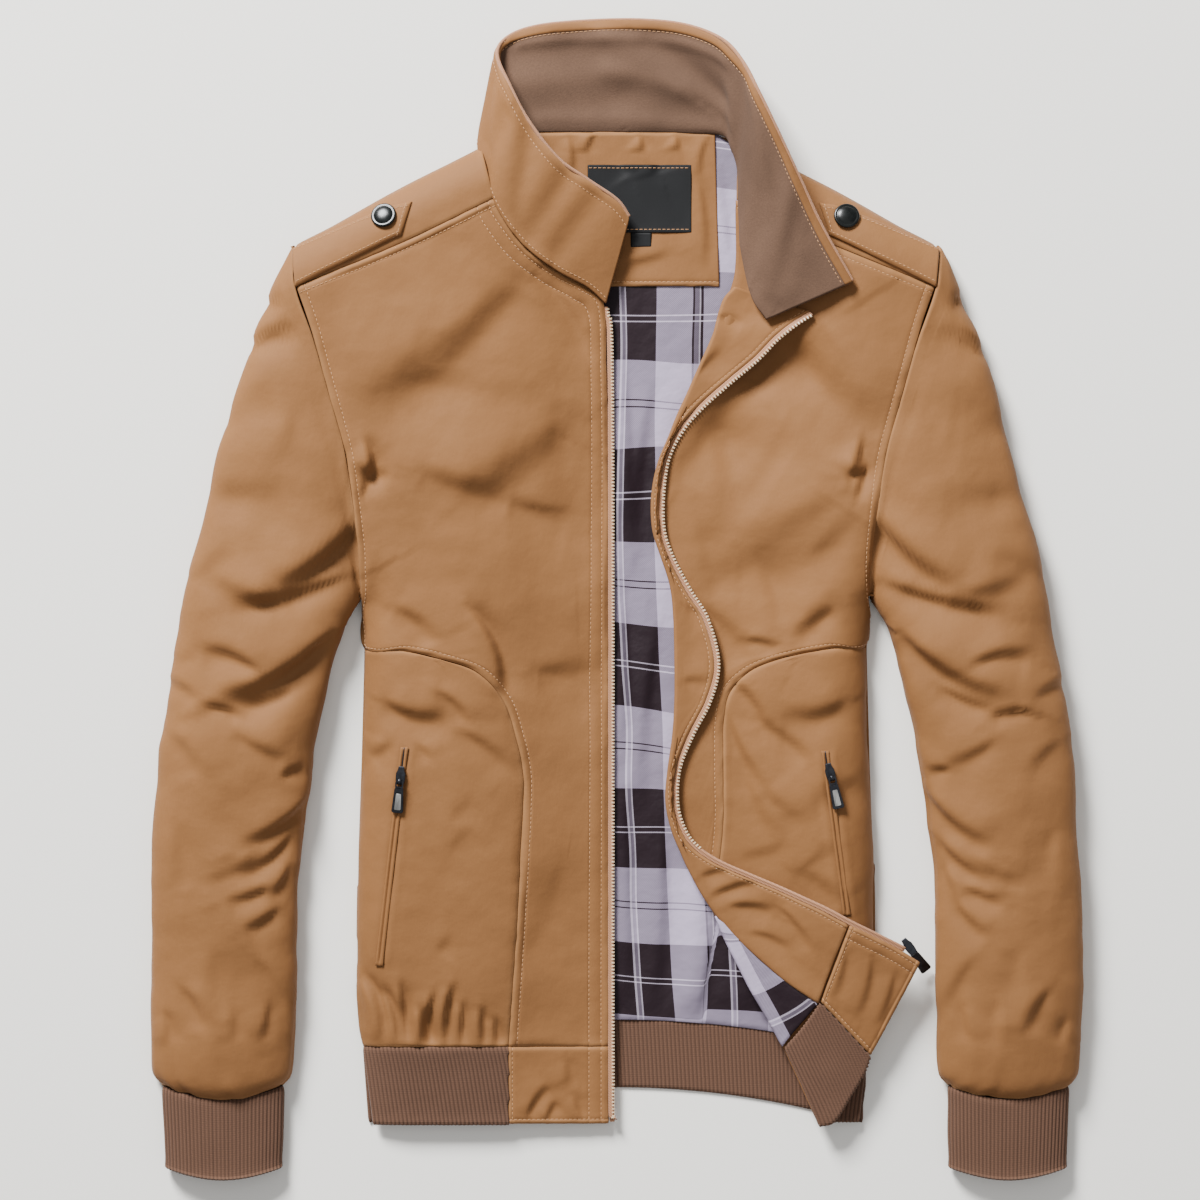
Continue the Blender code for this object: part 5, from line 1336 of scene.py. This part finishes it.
def make_turned_edge():
    fold_line, teeth = line_of(TURNED, "fold"), line_of(TURNED, "zip")
    beneath_fold = list(fold_line[1:FACING_MEETS_LINING]) + [(66, -216), (74, -232), (84, -252), (96, -275),
                                                            (108, -297), (120, -320.0), (145.5, -376.0)]
    beneath_zip = list(beside(teeth, -TAPE_INSIDE - 0.9)[1:FACING_MEETS_LINING])
    beneath_zip += [(98, -200.5), (120, -210.5), (148, -225.0), (178, -240.0), (211, -259.5), (200.0, -288.0),
                    (181.0, -327.5)]
    turned_piece("left_front_turnback", panel(beneath_fold, beneath_zip, 5.0, {}), 0.0, SHELL, "shell_cloth",
                 {}, seed=31, rough=0.1)
    edges = {"right": (3.2,), "bottom": ()}
    plan = panel(fold_line, beside(teeth, -TAPE_INSIDE - 0.4), 2.2, {"left": (), **edges})
    facing = turned_piece("left_facing", plan, SHELL + ON_TURNED, FACING, "shell_cloth", edges, rolled=5.0,
                          folds=FACING_FOLDS, seed=32)
    edges = {"right": ()}
    plan = panel(line_of(CORNER_LINING, "fold"), line_of(CORNER_LINING, "seam"), 1.8, edges)
    turned_piece("left_front_lining", plan, SHELL + ON_CORNER, LINING, "check_lining", edges, rolled=5.5,
                 uv=on_corner_lining(plan), seed=33, rough=0.4)
    edges = {"left": (3.0,), "right": (3.2, 9.5), "top": (3.0,), "bottom": (3.0,)}
    zip_edge = beside(line_of(HEM_BAND_LEFT, "zip"), -TAPE_INSIDE - 0.1)
    plan = panel(line_of(HEM_BAND_LEFT, "rib"), zip_edge, 2.0, edges)
    band = turned_piece("left_hem_band", plan, SHELL + ON_CORNER, CORNER, "shell_cloth", edges,
                        folds=CORNER_FOLDS, seed=34)
    columns, pitch = rib_columns(46.0)
    turned_piece("left_hem_rib", loft(RIB_LEFT, 34, columns), SHELL + ON_CORNER, CORNER, "knit_rib", {},
                 seed=35, ribs=pitch)
    sew("turned_edge_stitching", (facing, "right", 3.2), (band, "right", 3.2), (band, "right", 9.5),
        (band, "left", 3.0), (band, "top", 3.0))
    edge = np.vstack([teeth, [(186.0, -239.0), (200.5, -246.3), (206.5, -249.4)]])
    make_zip_side("left", edge, facing_height, SHELL + ON_TURNED, toothed=0.74)


FACING_FOLDS = table(
    FOLD_COLUMNS,
    (72, 200, 92, 196, 1, 1.2, 3.5, 0.9), (60, 160, 78, 176, 1, 1, 4, 0.8),
    (52, -6, 66, -20, 1, 1.2, 4, 0.9), (50, -60, 66, -62, 1, 1, 4, 0.8), (62, -200, 84, -196, 1, 1.3, 4, 1),
    (70, -214, 104, -205, 2, 1.8, 4, 1.3), (82, -222, 112, -226, 2, 2.1, 5, 1.3),
    (118, -222, 138, -252, 2, 1.6, 4, 1), (96, -240, 124, -252, 2, 1.2, 4, 0.9),
)
CORNER_FOLDS = table(
    FOLD_COLUMNS,
    (166, -248, 160, -286, 2, 1.2, 4, 0.9), (184, -256, 176, -300, 3, 1.4, 4.5, 1),
    (200, -268, 190, -306, 2, 1.2, 4, 0.9),
)


def make_zip_side(side, line, height, lift, toothed=1.0):
    """One side of the front zip: its woven tape, and its teeth as far along as they face up."""
    dense = curve(line, 10)
    lengths = run_length(dense)
    dense = at_lengths(dense, lengths, np.linspace(0, lengths[-1], int(lengths[-1] / 2.2)))
    inner, outer = beside(dense, -TAPE_INSIDE), beside(dense, TAPE_OUTSIDE - 0.9)
    columns = np.linspace(0, 1, 9)[:, None]
    base, normals = laid(inner[:, None] * (1 - columns) + outer[:, None] * columns, height, lift + TAPE)
    grid = base + normals * 0.5 * hump(columns - 0.7, 0.16)         # the cord woven into the tape's edge
    sheet(side + "_zip_tape", grid, TAPE, "zip_tape", grid, "laid", [side + "_front"],
          normals=normals_of(grid))
    faced = max(3, int(toothed * len(dense)))
    up = normals[:faced, -2]
    zip_teeth(side + "_zip_teeth", grid[:faced, 7] - up * 0.1, up)


# ---- sleeves and cuffs

def tube_grid(rows, lengths_wanted, around, sign):
    """Outer surface of a flattened sleeve that rests on the floor, with its rows at the wanted places."""
    values = curve([tuple(row) for row in rows])
    middle = (values[:, 0:2] + values[:, 2:4]) / 2
    lengths = run_length(middle)
    wanted = lengths_wanted(lengths[-1])
    values = at_lengths(values, lengths, wanted)
    armhole = along(ARMHOLE, 60)
    start, end = armhole[0], armhole[-1]
    share = np.linspace(0, 1, 60)
    angle = 2 * math.pi * np.arange(around) / around
    u, swing = (1 - np.cos(angle)) / 2, np.abs(np.sin(angle))
    on_curve = np.stack([np.interp(u, share, armhole[:, axis]) for axis in (0, 1)], axis=1)
    bend = on_curve - (start + (end - start) * u[:, None])
    grid = []
    for outer_x, outer_y, inner_x, inner_y, height, side_z, hold, sag in values:
        outer_end, inner_end = np.array([outer_x, outer_y]), np.array([inner_x, inner_y])
        plan = outer_end + (inner_end - outer_end) * u[:, None] + bend * max(hold, 0.0)
        plan[:, 1] -= max(sag, 0.0) * np.sin(math.pi * u)
        follow = max(0.0, (hold - 0.8) / 0.2)
        top = (height - side_z) * swing ** 0.85
        body = np.maximum(body_height(plan[:, 0], plan[:, 1]) - side_z, 0.0)
        rise = top * (1 - follow) + body * follow
        z = np.where(angle <= math.pi, side_z + rise, side_z - side_z * swing ** 0.35)
        grid.append(np.column_stack([plan[:, 0] * sign, plan[:, 1], np.maximum(z, 0.0)]))
    return np.array(grid)


def make_sleeve(side, sign):
    spacing, around = settings_mm("grid_spacing"), 104
    seed = 41 if side == "right" else 61

    def rows_at(length):
        return stations(length, int(length / spacing), (10.0,), ())

    grid = tube_grid(SLEEVE, rows_at, around, sign)
    normals = normals_of(grid, tube=True)
    folds = SLEEVE_FOLDS
    if side == "left":                  # the same folds, each a little aside and of another depth
        folds = [fold._replace(y0=fold.y0 + 5 * (k % 3 - 1), y1=fold.y1 - 4 * (k % 2),
                               depth=fold.depth * (0.8 + 0.1 * (k % 4)))
                 for k, fold in enumerate(SLEEVE_FOLDS)]
    x, y, z = grid[..., 0] * sign, grid[..., 1], grid[..., 2]
    angle = 2 * math.pi * np.arange(around) / around
    upper = np.where(angle <= math.pi, 1.0, 0.35)[None, :]
    round_it, from_top, from_cuff = on_tube(grid)
    stand = upper * (crease(x, y, folds) * settings().fold_strength + 2.0 * uneven(x, y, 55.0, seed + 7))
    stand += 0.9 * uneven(x, y, 27.0, seed) + 0.35 * uneven(x, y, 12.0, seed + 1)
    stand += 1.3 * uneven(round_it, from_cuff * 0.2, 8.0, seed + 2) * np.exp(-from_cuff / 16.0)
    stand += 0.5 * uneven(round_it, from_top * 0.3, 8.0, seed + 3) * np.exp(-from_top / 9.0)
    stand -= 0.9 * hump(from_top, 1.3) + 0.9 * hump(from_cuff, 1.6)
    grid = stood_out(grid, normals, stand * smooth_step((z - 1.5) / 7.0))
    sheet(side + "_sleeve", grid, SHELL, "shell_cloth", grid, "laid", [], tube=True,
          normals=normals_of(grid, tube=True), wear=hump(from_cuff, 2.0) + hump(from_top, 2.0))


def make_cuff(side, sign):
    columns = rib_columns(196.0)[0] - 1

    def rows_at(length):
        return np.linspace(0, length, 24)

    smooth = tube_grid(CUFF, rows_at, columns, sign)
    round_it, from_top, from_end = on_tube(smooth)
    total = border(closed_round(smooth))["left"][:, -1:]
    wave = rib_wave(round_it / total * (columns // RIB_POINTS), 1.0)
    stand = wave + 0.5 * hump(from_end, 4.0) - 0.8 * hump(from_top, 1.8)
    stand += 0.5 * uneven(smooth[..., 0], smooth[..., 1], 24.0, 71)
    grid = stood_out(smooth, normals_of(smooth, tube=True), stand * smooth_step((smooth[..., 2] - 0.4) / 3.0))
    # The cuff's colour mark is painted shade in the grooves of its ribs.
    sheet(side + "_cuff", grid, RIB, "knit_rib", smooth, "gathered", [], tube=True,
          normals=normals_of(grid, tube=True), wear=groove(wave))


def on_tube(grid):
    """Each point's distance round a tube, from its upper end and from its lower end."""
    distances = border(closed_round(grid))
    return [distances[edge][:, :-1] for edge in ("left", "top", "bottom")]


def stood_out(grid, normals, stand):
    """A grid moved along its normals, and kept just over the floor."""
    grid = grid + normals * stand[..., None]
    grid[..., 2] = np.maximum(grid[..., 2], 0.05)
    return grid


# ---- collar

COLLAR_CREASES = table(                 # on the collar: places along and up it, from 0 to 1, and their depth
    "along0 up0 along1 up1 depth width",
    (0.06, 0.9, 0.09, 0.15, 1.2, 0.018), (0.11, 0.95, 0.135, 0.12, 1.6, 0.018),
    (0.19, 0.92, 0.165, 0.15, 1.4, 0.02), (0.24, 0.75, 0.27, 0.1, 1.2, 0.018),
    (0.30, 0.9, 0.28, 0.25, 1.1, 0.02), (0.345, 0.8, 0.36, 0.2, -1.4, 0.03),
    (0.44, 0.75, 0.49, 0.3, -1.6, 0.032), (0.50, 0.85, 0.60, 0.42, 2, 0.026),
    (0.56, 0.8, 0.66, 0.4, -1.6, 0.022), (0.68, 0.95, 0.70, 0.1, 1.5, 0.022),
    (0.78, 0.8, 0.83, 0.2, 0.9, 0.03), (0.87, 0.9, 0.91, 0.25, 1, 0.026),
    (0.94, 0.7, 0.975, 0.3, 0.8, 0.02),
)

FLEECE_FOLDS = table(                   # where the fleece stands up from the collar, in the same places
    "along0 up0 along1 up1 rise width",
    (0.37, 0.86, 0.67, 0.82, 1.9, 0.012), (0.36, 0.48, 0.50, 0.50, 2.6, 0.032),
    (0.50, 0.55, 0.67, 0.30, 2.2, 0.020), (0.40, 0.12, 0.55, 0.10, 1.2, 0.014),
    (0.57, 0.08, 0.66, 0.06, 1.4, 0.016), (0.74, 0.85, 0.86, 0.55, 1.2, 0.018),
    (0.88, 0.8, 0.95, 0.2, 1.3, 0.018),
)


COLLAR_HALF_GAP = 0.2               # from the collar's middle to the inside of each layer
RIM_STITCHES = 7.0                  # from the collar's rim to its stitch line


def collar_row(row, place, height):
    """Distance of each point of the collar from a crease's line, in shares of the collar's length."""
    return from_line(place, height * 0.2, [(row.along0, row.up0 * 0.2), (row.along1, row.up1 * 0.2)])[0]


def make_collar():
    values = curve([tuple(row) for row in COLLAR])
    lengths = run_length((values[:, 0:3] + values[:, 3:6]) / 2)
    wanted = np.concatenate([[0, 0.8, 1.8, 3.0], np.linspace(4.6, lengths[-1] - 4.6, 190),
                             lengths[-1] - np.array([3.0, 1.8, 0.8, 0])])
    values = at_lengths(values, lengths, wanted)
    neck, top, bow = values[:, 0:3], values[:, 3:6], values[:, 6]
    up = np.concatenate([[0, 0.012, 0.03, 0.05], np.linspace(0.08, 0.9, 26), [0.925, 0.945, 0.965, 0.985, 1]])
    middle = neck[:, None] + (top - neck)[:, None] * up[None, :, None]
    middle[..., 2] += np.maximum(bow, 0.0)[:, None] * np.sin(math.pi * up)[None, :]
    normals = unit(np.cross(np.gradient(middle, axis=1), np.gradient(middle, axis=0)))
    place, height = np.meshgrid(wanted / lengths[-1], up, indexing="ij")
    relief = np.zeros(place.shape)
    for row in COLLAR_CREASES:
        away = collar_row(row, place, height)
        relief += row.depth * (0.5 * hump(away - 1.8 * row.width, 1.2 * row.width) - hump(away, row.width))
    distances = border(middle)
    from_seam, from_rim = distances["left"], distances["right"]
    uv = np.stack([distances["top"], from_seam], axis=-1) * MM
    pieces = []
    for finish, node, thickness, sign in (("shell_cloth", "collar_shell", SHELL, 1),
                                          ("brushed_fleece", "collar_lining", FLEECE, -1)):
        stand = 1.3 * relief * sign + 0.35 * uneven(place * 400, height * 70, 19.0, 81)
        stand += 0.3 * hump(from_rim - RIM_STITCHES + 2.4, 1.6) - 0.5 * hump(from_rim - RIM_STITCHES, 0.9)
        stand -= 0.6 * hump(from_seam, 1.5) + 0.9 * hump(from_rim, 1.4)
        if finish == "brushed_fleece":
            for row in FLEECE_FOLDS:
                stand += row.rise * hump(collar_row(row, place, height), row.width)
        grid = middle + normals * sign * (COLLAR_HALF_GAP + thickness + stand)[..., None]
        grid[..., 2] = np.maximum(grid[..., 2], 0.15)
        pieces.append(Piece(grid, normals_of(grid, toward=normals * sign), distances))
        sheet(node, grid, thickness, finish, middle, "laid", ["back_body"], uv=uv, normals=pieces[-1].normals,
              wear=hump(from_rim, 2.0))
    outer, inner = pieces
    rim_columns = slice(30, None)
    bound = inner.grid[:, rim_columns] + inner.normals[:, rim_columns] * 0.5
    strip = shell("collar_binding", bound, BINDING, "shell_cloth", inner.normals[:, rim_columns],
                  uv=uv[:, rim_columns])
    attach(strip)
    declare_cut(bound, False)
    rim = middle[:, -1] + normals[:, -1] * 0.1 + unit(middle[:, -1] - middle[:, -2]) * 0.6
    tube_on("collar_piping", rim, 1.35, "zip_tape")
    sew("collar_stitching", (outer, "right", RIM_STITCHES), (inner, "right", RIM_STITCHES),
        (outer, "left", 3.0))


# ---- epaulettes, studs, pockets and sliders

def height_at(x, y):
    """The smooth body's height at one point."""
    return float(body_height(np.array([float(x)]), np.array([float(y)]))[0])


def axes_of(side, forward, normal):
    return Matrix((side, forward, normal)).transposed().to_4x4()


def frame_at(x, y, lift, toward):
    """Local axes on the body's cloth at a point: Z out of it and Y along toward."""
    step = 0.8
    slope_x = (height_at(x + step, y) - height_at(x - step, y)) / (2 * step)
    slope_y = (height_at(x, y + step) - height_at(x, y - step)) / (2 * step)
    normal = Vector((-slope_x, -slope_y, 1.0)).normalized()
    direction = Vector((toward[0], toward[1], 0.0))
    forward = (direction - normal * direction.dot(normal)).normalized()
    origin = Vector((x, y, height_at(x, y))) + normal * lift
    return Matrix.Translation(origin) @ axes_of(forward.cross(normal), forward, normal)


STUD_PROFILE = table(
    "radius z",
    (9, 0), (9.2, 0.4), (9.2, 1), (9, 1.4), (8.6, 1.7), (8, 1.85), (7.4, 1.8), (7.1, 1.75), (6.8, 1.85),
    (6.3, 2.15), (5.4, 2.5), (4.2, 2.8), (2.8, 3), (1.4, 3.1), (0.5, 3.12),
)


def make_stud(side, sign):
    place = frame_at(SNAP[0] * sign, SNAP[1], EPAULETTE + 1.1, (0, 1))
    radius, z = np.array(STUD_PROFILE).T
    axis = np.outer(z, (0, 0, 1))
    east, north = np.zeros(axis.shape) + (1, 0, 0), np.zeros(axis.shape) + (0, 1, 0)
    points = [place @ Vector(point) for point in rings_round(axis, east, north, radius, 56)]
    joined(side + "_snap", [(points, ring_faces(len(z), 56))], "snap_black", [side + "_snap"])


def make_epaulette(side, sign):
    ridge, low = mirrored(EPAULETTE_RIDGE, sign), mirrored(EPAULETTE_LOW, sign)
    plan = panel(along(ridge, 9), along(low, 9), 1.6, {edge: (3.4,) for edge in EDGES})

    def strap(x, y, distances):
        near = np.minimum.reduce([distances["left"], distances["right"], distances["bottom"]])
        dimple = 0.9 * np.exp(-(np.hypot(np.abs(x) + SNAP[0], y - SNAP[1]) / 8.0) ** 4)
        return 0.25 - 1.1 * hump(near, 1.3) - dimple

    piece = cloth(side + "_epaulette", plan, body_height, 0.4, EPAULETTE, "shell_cloth", {}, [side + "_yoke"],
                  seed=91, extra=strap)
    sew(side + "_epaulette_stitching", (piece, "left", 3.4), (piece, "right", 3.4), (piece, "bottom", 3.4))


SLIDER_HALF_WIDTH, SLIDER_BACK, SLIDER_NOSE, SLIDER_HEIGHT = 3.3, 10.5, 2.4, 2.6
AXIS_RISE, BAIL_RADIUS, BAIL_WIRE = 1.5, 1.7, 0.45
METAL_EDGE = 35.0                   # degrees past which a metal edge is sharp
PULL_HALF_WIDTH, PULL_LENGTH, PULL_HALF_THICKNESS, PULL_TILT = 4.2, 23.0, 0.6, 8.0
FRONT_SLIDER, FRONT_SLIDER_BACK, FRONT_SLIDER_TOP, FRONT_PULL_TILT = (212.2, -251.8), (-0.60, 0.80), 3.4, 33.0


def outline_plate(outline, levels, place):
    """A plate with a rounded edge: its outline at each level, drawn in by the level's inset."""
    outline = np.array(outline, dtype=float)
    centre = outline.mean(axis=0)
    points = []
    for z, inset in levels:
        scale = 1.0 - inset / np.abs(outline - centre).max(axis=0)
        points += [place @ Vector((*spot, z)) for spot in centre + (outline - centre) * scale]
    return points, ring_faces(len(levels), len(outline))


def rounded_outline(half_width, low, high, radius, taper=0.0, steps=5):
    """A rectangle with round corners from y = low to high, narrower by taper at its high end."""
    points, wide = [], half_width - radius
    for cx, cy, start in ((wide, low + radius, -90), (wide - taper, high - radius, 0),
                          (taper - wide, high - radius, 90), (-wide, low + radius, 180)):
        for k in range(steps):
            angle = math.radians(start + 90 * k / (steps - 1))
            points.append((cx + radius * math.cos(angle), cy + radius * math.sin(angle)))
    return points


def ring_points(place, outer, inner, low, high):
    """A flat ring between two outlines of the same length."""
    rings = (outer, low), (outer, high), (inner, high), (inner, low)
    points = [place @ Vector((*point, z)) for line, z in rings for point in line]
    return points, ring_faces(4, len(outer), capped=False)


def make_slider(name, place):
    """A slider's two plates, its post and the bail that holds the pull."""
    wing = [(2.0, -SLIDER_NOSE), (2.9, -1.2), (SLIDER_HALF_WIDTH, 1.5), (SLIDER_HALF_WIDTH, 5.5), (2.4, 7.6),
            (1.9, SLIDER_BACK)]
    wings = wing + mirrored(wing[::-1])
    low = outline_plate(wings, [(0.0, 0.25), (0.2, 0.0), (0.6, 0.0), (0.75, 0.15)], place)
    high = outline_plate(wings, [(1.75, 0.15), (1.9, 0.0), (2.35, 0.0), (SLIDER_HEIGHT, 0.35)], place)
    post = outline_plate(rounded_outline(1.2, 4.4, 9.6, 0.6), [(0.7, 0.0), (1.8, 0.0)], place)
    centre = SLIDER_HEIGHT + AXIS_RISE
    angles = np.linspace(-0.35, math.pi + 0.35, 17)
    radial = np.stack([angles * 0, np.cos(angles), np.sin(angles)], axis=1)
    wide = np.zeros(radial.shape) + (1.05, 0, 0)
    rings = rings_round(radial * BAIL_RADIUS + (0, 0, centre), radial * BAIL_WIRE, wide, 1.0, 8)
    bail = [place @ Vector(point) for point in rings], ring_faces(len(angles), 8)
    joined(name, [low, high, post, bail], "zip_metal", [name], sharp=METAL_EDGE)


def make_pull(name, place, tilt, body):
    """A pull tab: a black frame with its window round the bail and a brushed inlay."""
    hinge = Matrix.Translation((0, 0, SLIDER_HEIGHT + AXIS_RISE))
    local = place @ hinge @ Matrix.Rotation(math.radians(tilt), 4, "X")
    half, w = PULL_HALF_THICKNESS, PULL_HALF_WIDTH
    eye = ring_points(local, rounded_outline(2.9, -5.2, 0.6, 1.4), rounded_outline(1.9, -3.9, -0.6, 1.0),
                      -half, half)
    plate = outline_plate(rounded_outline(w, -PULL_LENGTH, -4.4, 1.6, taper=1.0),
                          [(-half, 0.3), (-half + 0.25, 0.0), (half - 0.25, 0.0), (half, 0.3)], local)
    lip = ring_points(local, rounded_outline(w - 0.4, -PULL_LENGTH + 0.4, -5.6, 1.4, taper=0.8),
                      rounded_outline(w - 1.5, -PULL_LENGTH + 1.6, -7.4, 1.0, taper=0.6), half - 0.1,
                      half + 0.35)
    joined(name, [eye, plate, lip], "zip_metal", [name], body, METAL_EDGE)
    inlay = outline_plate(rounded_outline(w - 1.9, -PULL_LENGTH + 2.2, -9.0, 0.7, taper=0.4),
                          [(half - 0.05, 0.0), (half + 0.12, 0.0), (half + 0.2, 0.12)], local)
    joined(name + "_inlay", [inlay], "pull_inlay", [], body, METAL_EDGE)


def make_pocket(pocket):
    """A pocket's zip between its welts, with its coil, slider and pull."""
    start, end = np.array(pocket.tape_from), np.array(pocket.tape_to)
    line = start + (end - start) * np.linspace(0, 1, 80)[:, None]
    columns = np.linspace(-1, 1, 17)
    plan = line[:, None] + np.stack([columns * 2.6, columns * 0.0], axis=1)[None]
    base, normals = laid(plan, body_height)
    taper = np.minimum(smooth_step(np.linspace(0, 30, 80)), smooth_step(np.linspace(30, 0, 80)))[:, None]
    lips = 0.55 * hump(np.abs(columns) - 0.62, 0.26) - 0.75 * hump(columns, 0.2)
    grid = base + normals * (SEAM + 0.75 + lips[None, :] * taper)[..., None]
    sheet(pocket.side + "_pocket_tape", grid, TAPE, "shell_cloth", base, "laid",
          [pocket.side + "_side_panel"], slot="zip_tape", normals=normals_of(grid))
    above = int(np.argmin(np.abs(line[:, 1] - pocket.slider_y)))
    coil = (base[:, 8] + normals[:, 8] * (SEAM + 0.45))[:above]
    tube_on(pocket.side + "_pocket_coil", coil, 0.5, "zip_metal", sides=6)
    place = frame_at(pocket.slider_x, pocket.slider_y, SEAM + TAPE + 0.5, (pocket.toward_x, pocket.toward_y))
    make_slider(pocket.side + "_pocket_slider", place)
    make_pull(pocket.side + "_pocket_pull", place, PULL_TILT, pocket.side + "_pocket_pull_tab")


def make_front_slider():
    spot = np.array([FRONT_SLIDER[0]]), np.array([FRONT_SLIDER[1]])
    level = float(turned_height(*spot)[0]) + FRONT_SLIDER_TOP
    back, down = Vector((*FRONT_SLIDER_BACK, 0)).normalized(), Vector((0, 0, -1))
    place = Matrix.Translation((*FRONT_SLIDER, level)) @ axes_of(back.cross(down), back, down)
    make_slider("front_slider", place)
    make_pull("front_pull", place, -FRONT_PULL_TILT, "front_pull_tab")


# ---- stage

CAMERA_HEIGHT = 3.24
LENS, SENSOR = 135.0, 36.0
PHOTO_CENTRE = (-0.0112, -0.0007)
LIGHTS = table(                     # square soft lights that face the jacket's middle: metres and watts
    "name size energy place",
    ("key", 1.4, 760, (-1.85, 3.5, 2.45)), ("fill", 2.4, 12, (1.8, -1.2, 2.4)),
    ("overhead", 2.6, 8, (0, 0.3, 3)),
)
SKY_STRENGTH = 0.45


def make_stage():
    mesh = bpy.data.meshes.new("floor")
    mesh.from_pydata([(-4, -4, 0), (4, -4, 0), (4, 4, 0), (-4, 4, 0)], [], [(0, 1, 2, 3)])
    mesh.materials.append(material("paper"))
    floor = bpy.data.objects.new("floor", mesh)
    bpy.context.scene.collection.objects.link(floor)
    for row in LIGHTS:
        data = bpy.data.lights.new(row.name, "AREA")
        data.shape, data.size, data.energy = "SQUARE", row.size, row.energy
        light = bpy.data.objects.new(row.name, data)
        bpy.context.scene.collection.objects.link(light)
        light.location = row.place
        light.rotation_euler = (-Vector(row.place)).to_track_quat("-Z", "Y").to_euler()
    world = bpy.data.worlds.new("studio")
    bpy.context.scene.world = world
    world.use_nodes = True
    feed(world.node_tree.nodes["Background"], {"Color": tint(linear("#F6F6F8")), "Strength": SKY_STRENGTH})
    data = bpy.data.cameras.new("camera")
    data.lens, data.sensor_width = LENS, SENSOR
    data.dof.use_dof = False
    camera = bpy.data.objects.new("camera", data)
    bpy.context.scene.collection.objects.link(camera)
    camera.location = (*PHOTO_CENTRE, CAMERA_HEIGHT)
    bpy.context.scene.camera = camera


# ---- the add-on

class JACKET_OT_back(bpy.types.Operator):
    """Lay the back panel, its lining, neck facing, bare label and hem rib"""
    bl_idname = "jacket.back"
    bl_label = "Back, lining and label"

    def execute(self, context):
        make_back()
        make_back_rib()
        return {"FINISHED"}


class JACKET_OT_fronts(bpy.types.Operator):
    """Sew both fronts with their side panels, yokes, hem rib and hem band"""
    bl_idname = "jacket.fronts"
    bl_label = "Fronts and hem"

    def execute(self, context):
        make_right_front()
        make_left_front()
        make_zip_side("right", ZIP_LINE_RIGHT, body_height, -SHELL)
        return {"FINISHED"}


class JACKET_OT_turned_edge(bpy.types.Operator):
    """Turn out the left front's edge: facing, lining, rib, hem band and its side of the zip"""
    bl_idname = "jacket.turned_edge"
    bl_label = "Turned-out edge"

    def execute(self, context):
        make_turned_edge()
        return {"FINISHED"}


class JACKET_OT_sleeves(bpy.types.Operator):
    """Make both sleeves with their creases, and the knit cuffs"""
    bl_idname = "jacket.sleeves"
    bl_label = "Sleeves and cuffs"

    def execute(self, context):
        for side, sign in (("right", 1), ("left", -1)):
            make_sleeve(side, sign)
            make_cuff(side, sign)
        return {"FINISHED"}


class JACKET_OT_collar(bpy.types.Operator):
    """Stand up the collar: shell, fleece, piping and stitching"""
    bl_idname = "jacket.collar"
    bl_label = "Collar"

    def execute(self, context):
        make_collar()
        return {"FINISHED"}


class JACKET_OT_hardware(bpy.types.Operator):
    """Add epaulettes, press studs, pocket zips, sliders and pull tabs"""
    bl_idname = "jacket.hardware"
    bl_label = "Epaulettes, studs and zips"

    def execute(self, context):
        for side, sign in (("right", 1), ("left", -1)):
            make_epaulette(side, sign)
            make_stud(side, sign)
        for pocket in POCKETS:
            make_pocket(pocket)
        make_front_slider()
        return {"FINISHED"}


class JACKET_OT_stage(bpy.types.Operator):
    """Set out the pale floor, the studio light and the camera overhead"""
    bl_idname = "jacket.stage"
    bl_label = "Stage"

    def execute(self, context):
        make_stage()
        return {"FINISHED"}


STEPS = (JACKET_OT_back, JACKET_OT_fronts, JACKET_OT_turned_edge, JACKET_OT_sleeves, JACKET_OT_collar,
         JACKET_OT_hardware, JACKET_OT_stage)


class JACKET_PT_panel(bpy.types.Panel):
    """Sizes, colours and building steps of the jacket"""
    bl_idname = "JACKET_PT_panel"
    bl_label = "Bomber jacket"
    bl_space_type = "VIEW_3D"
    bl_region_type = "UI"
    bl_category = "Jacket"

    def draw(self, context):
        for name in JacketSettings.__annotations__:
            self.layout.prop(context.scene.jacket, name)
        for step in STEPS:
            self.layout.operator(step.bl_idname)


CLASSES = (JacketSettings, *STEPS, JACKET_PT_panel)


def register():
    for entry in CLASSES:
        bpy.utils.register_class(entry)
    bpy.types.Scene.jacket = PointerProperty(type=JacketSettings)


def unregister():
    del bpy.types.Scene.jacket
    for entry in reversed(CLASSES):
        bpy.utils.unregister_class(entry)


def main():
    register()
    for step in STEPS:
        group, action = step.bl_idname.split(".")
        getattr(getattr(bpy.ops, group), action)()


if __name__ == "__main__":
    main()
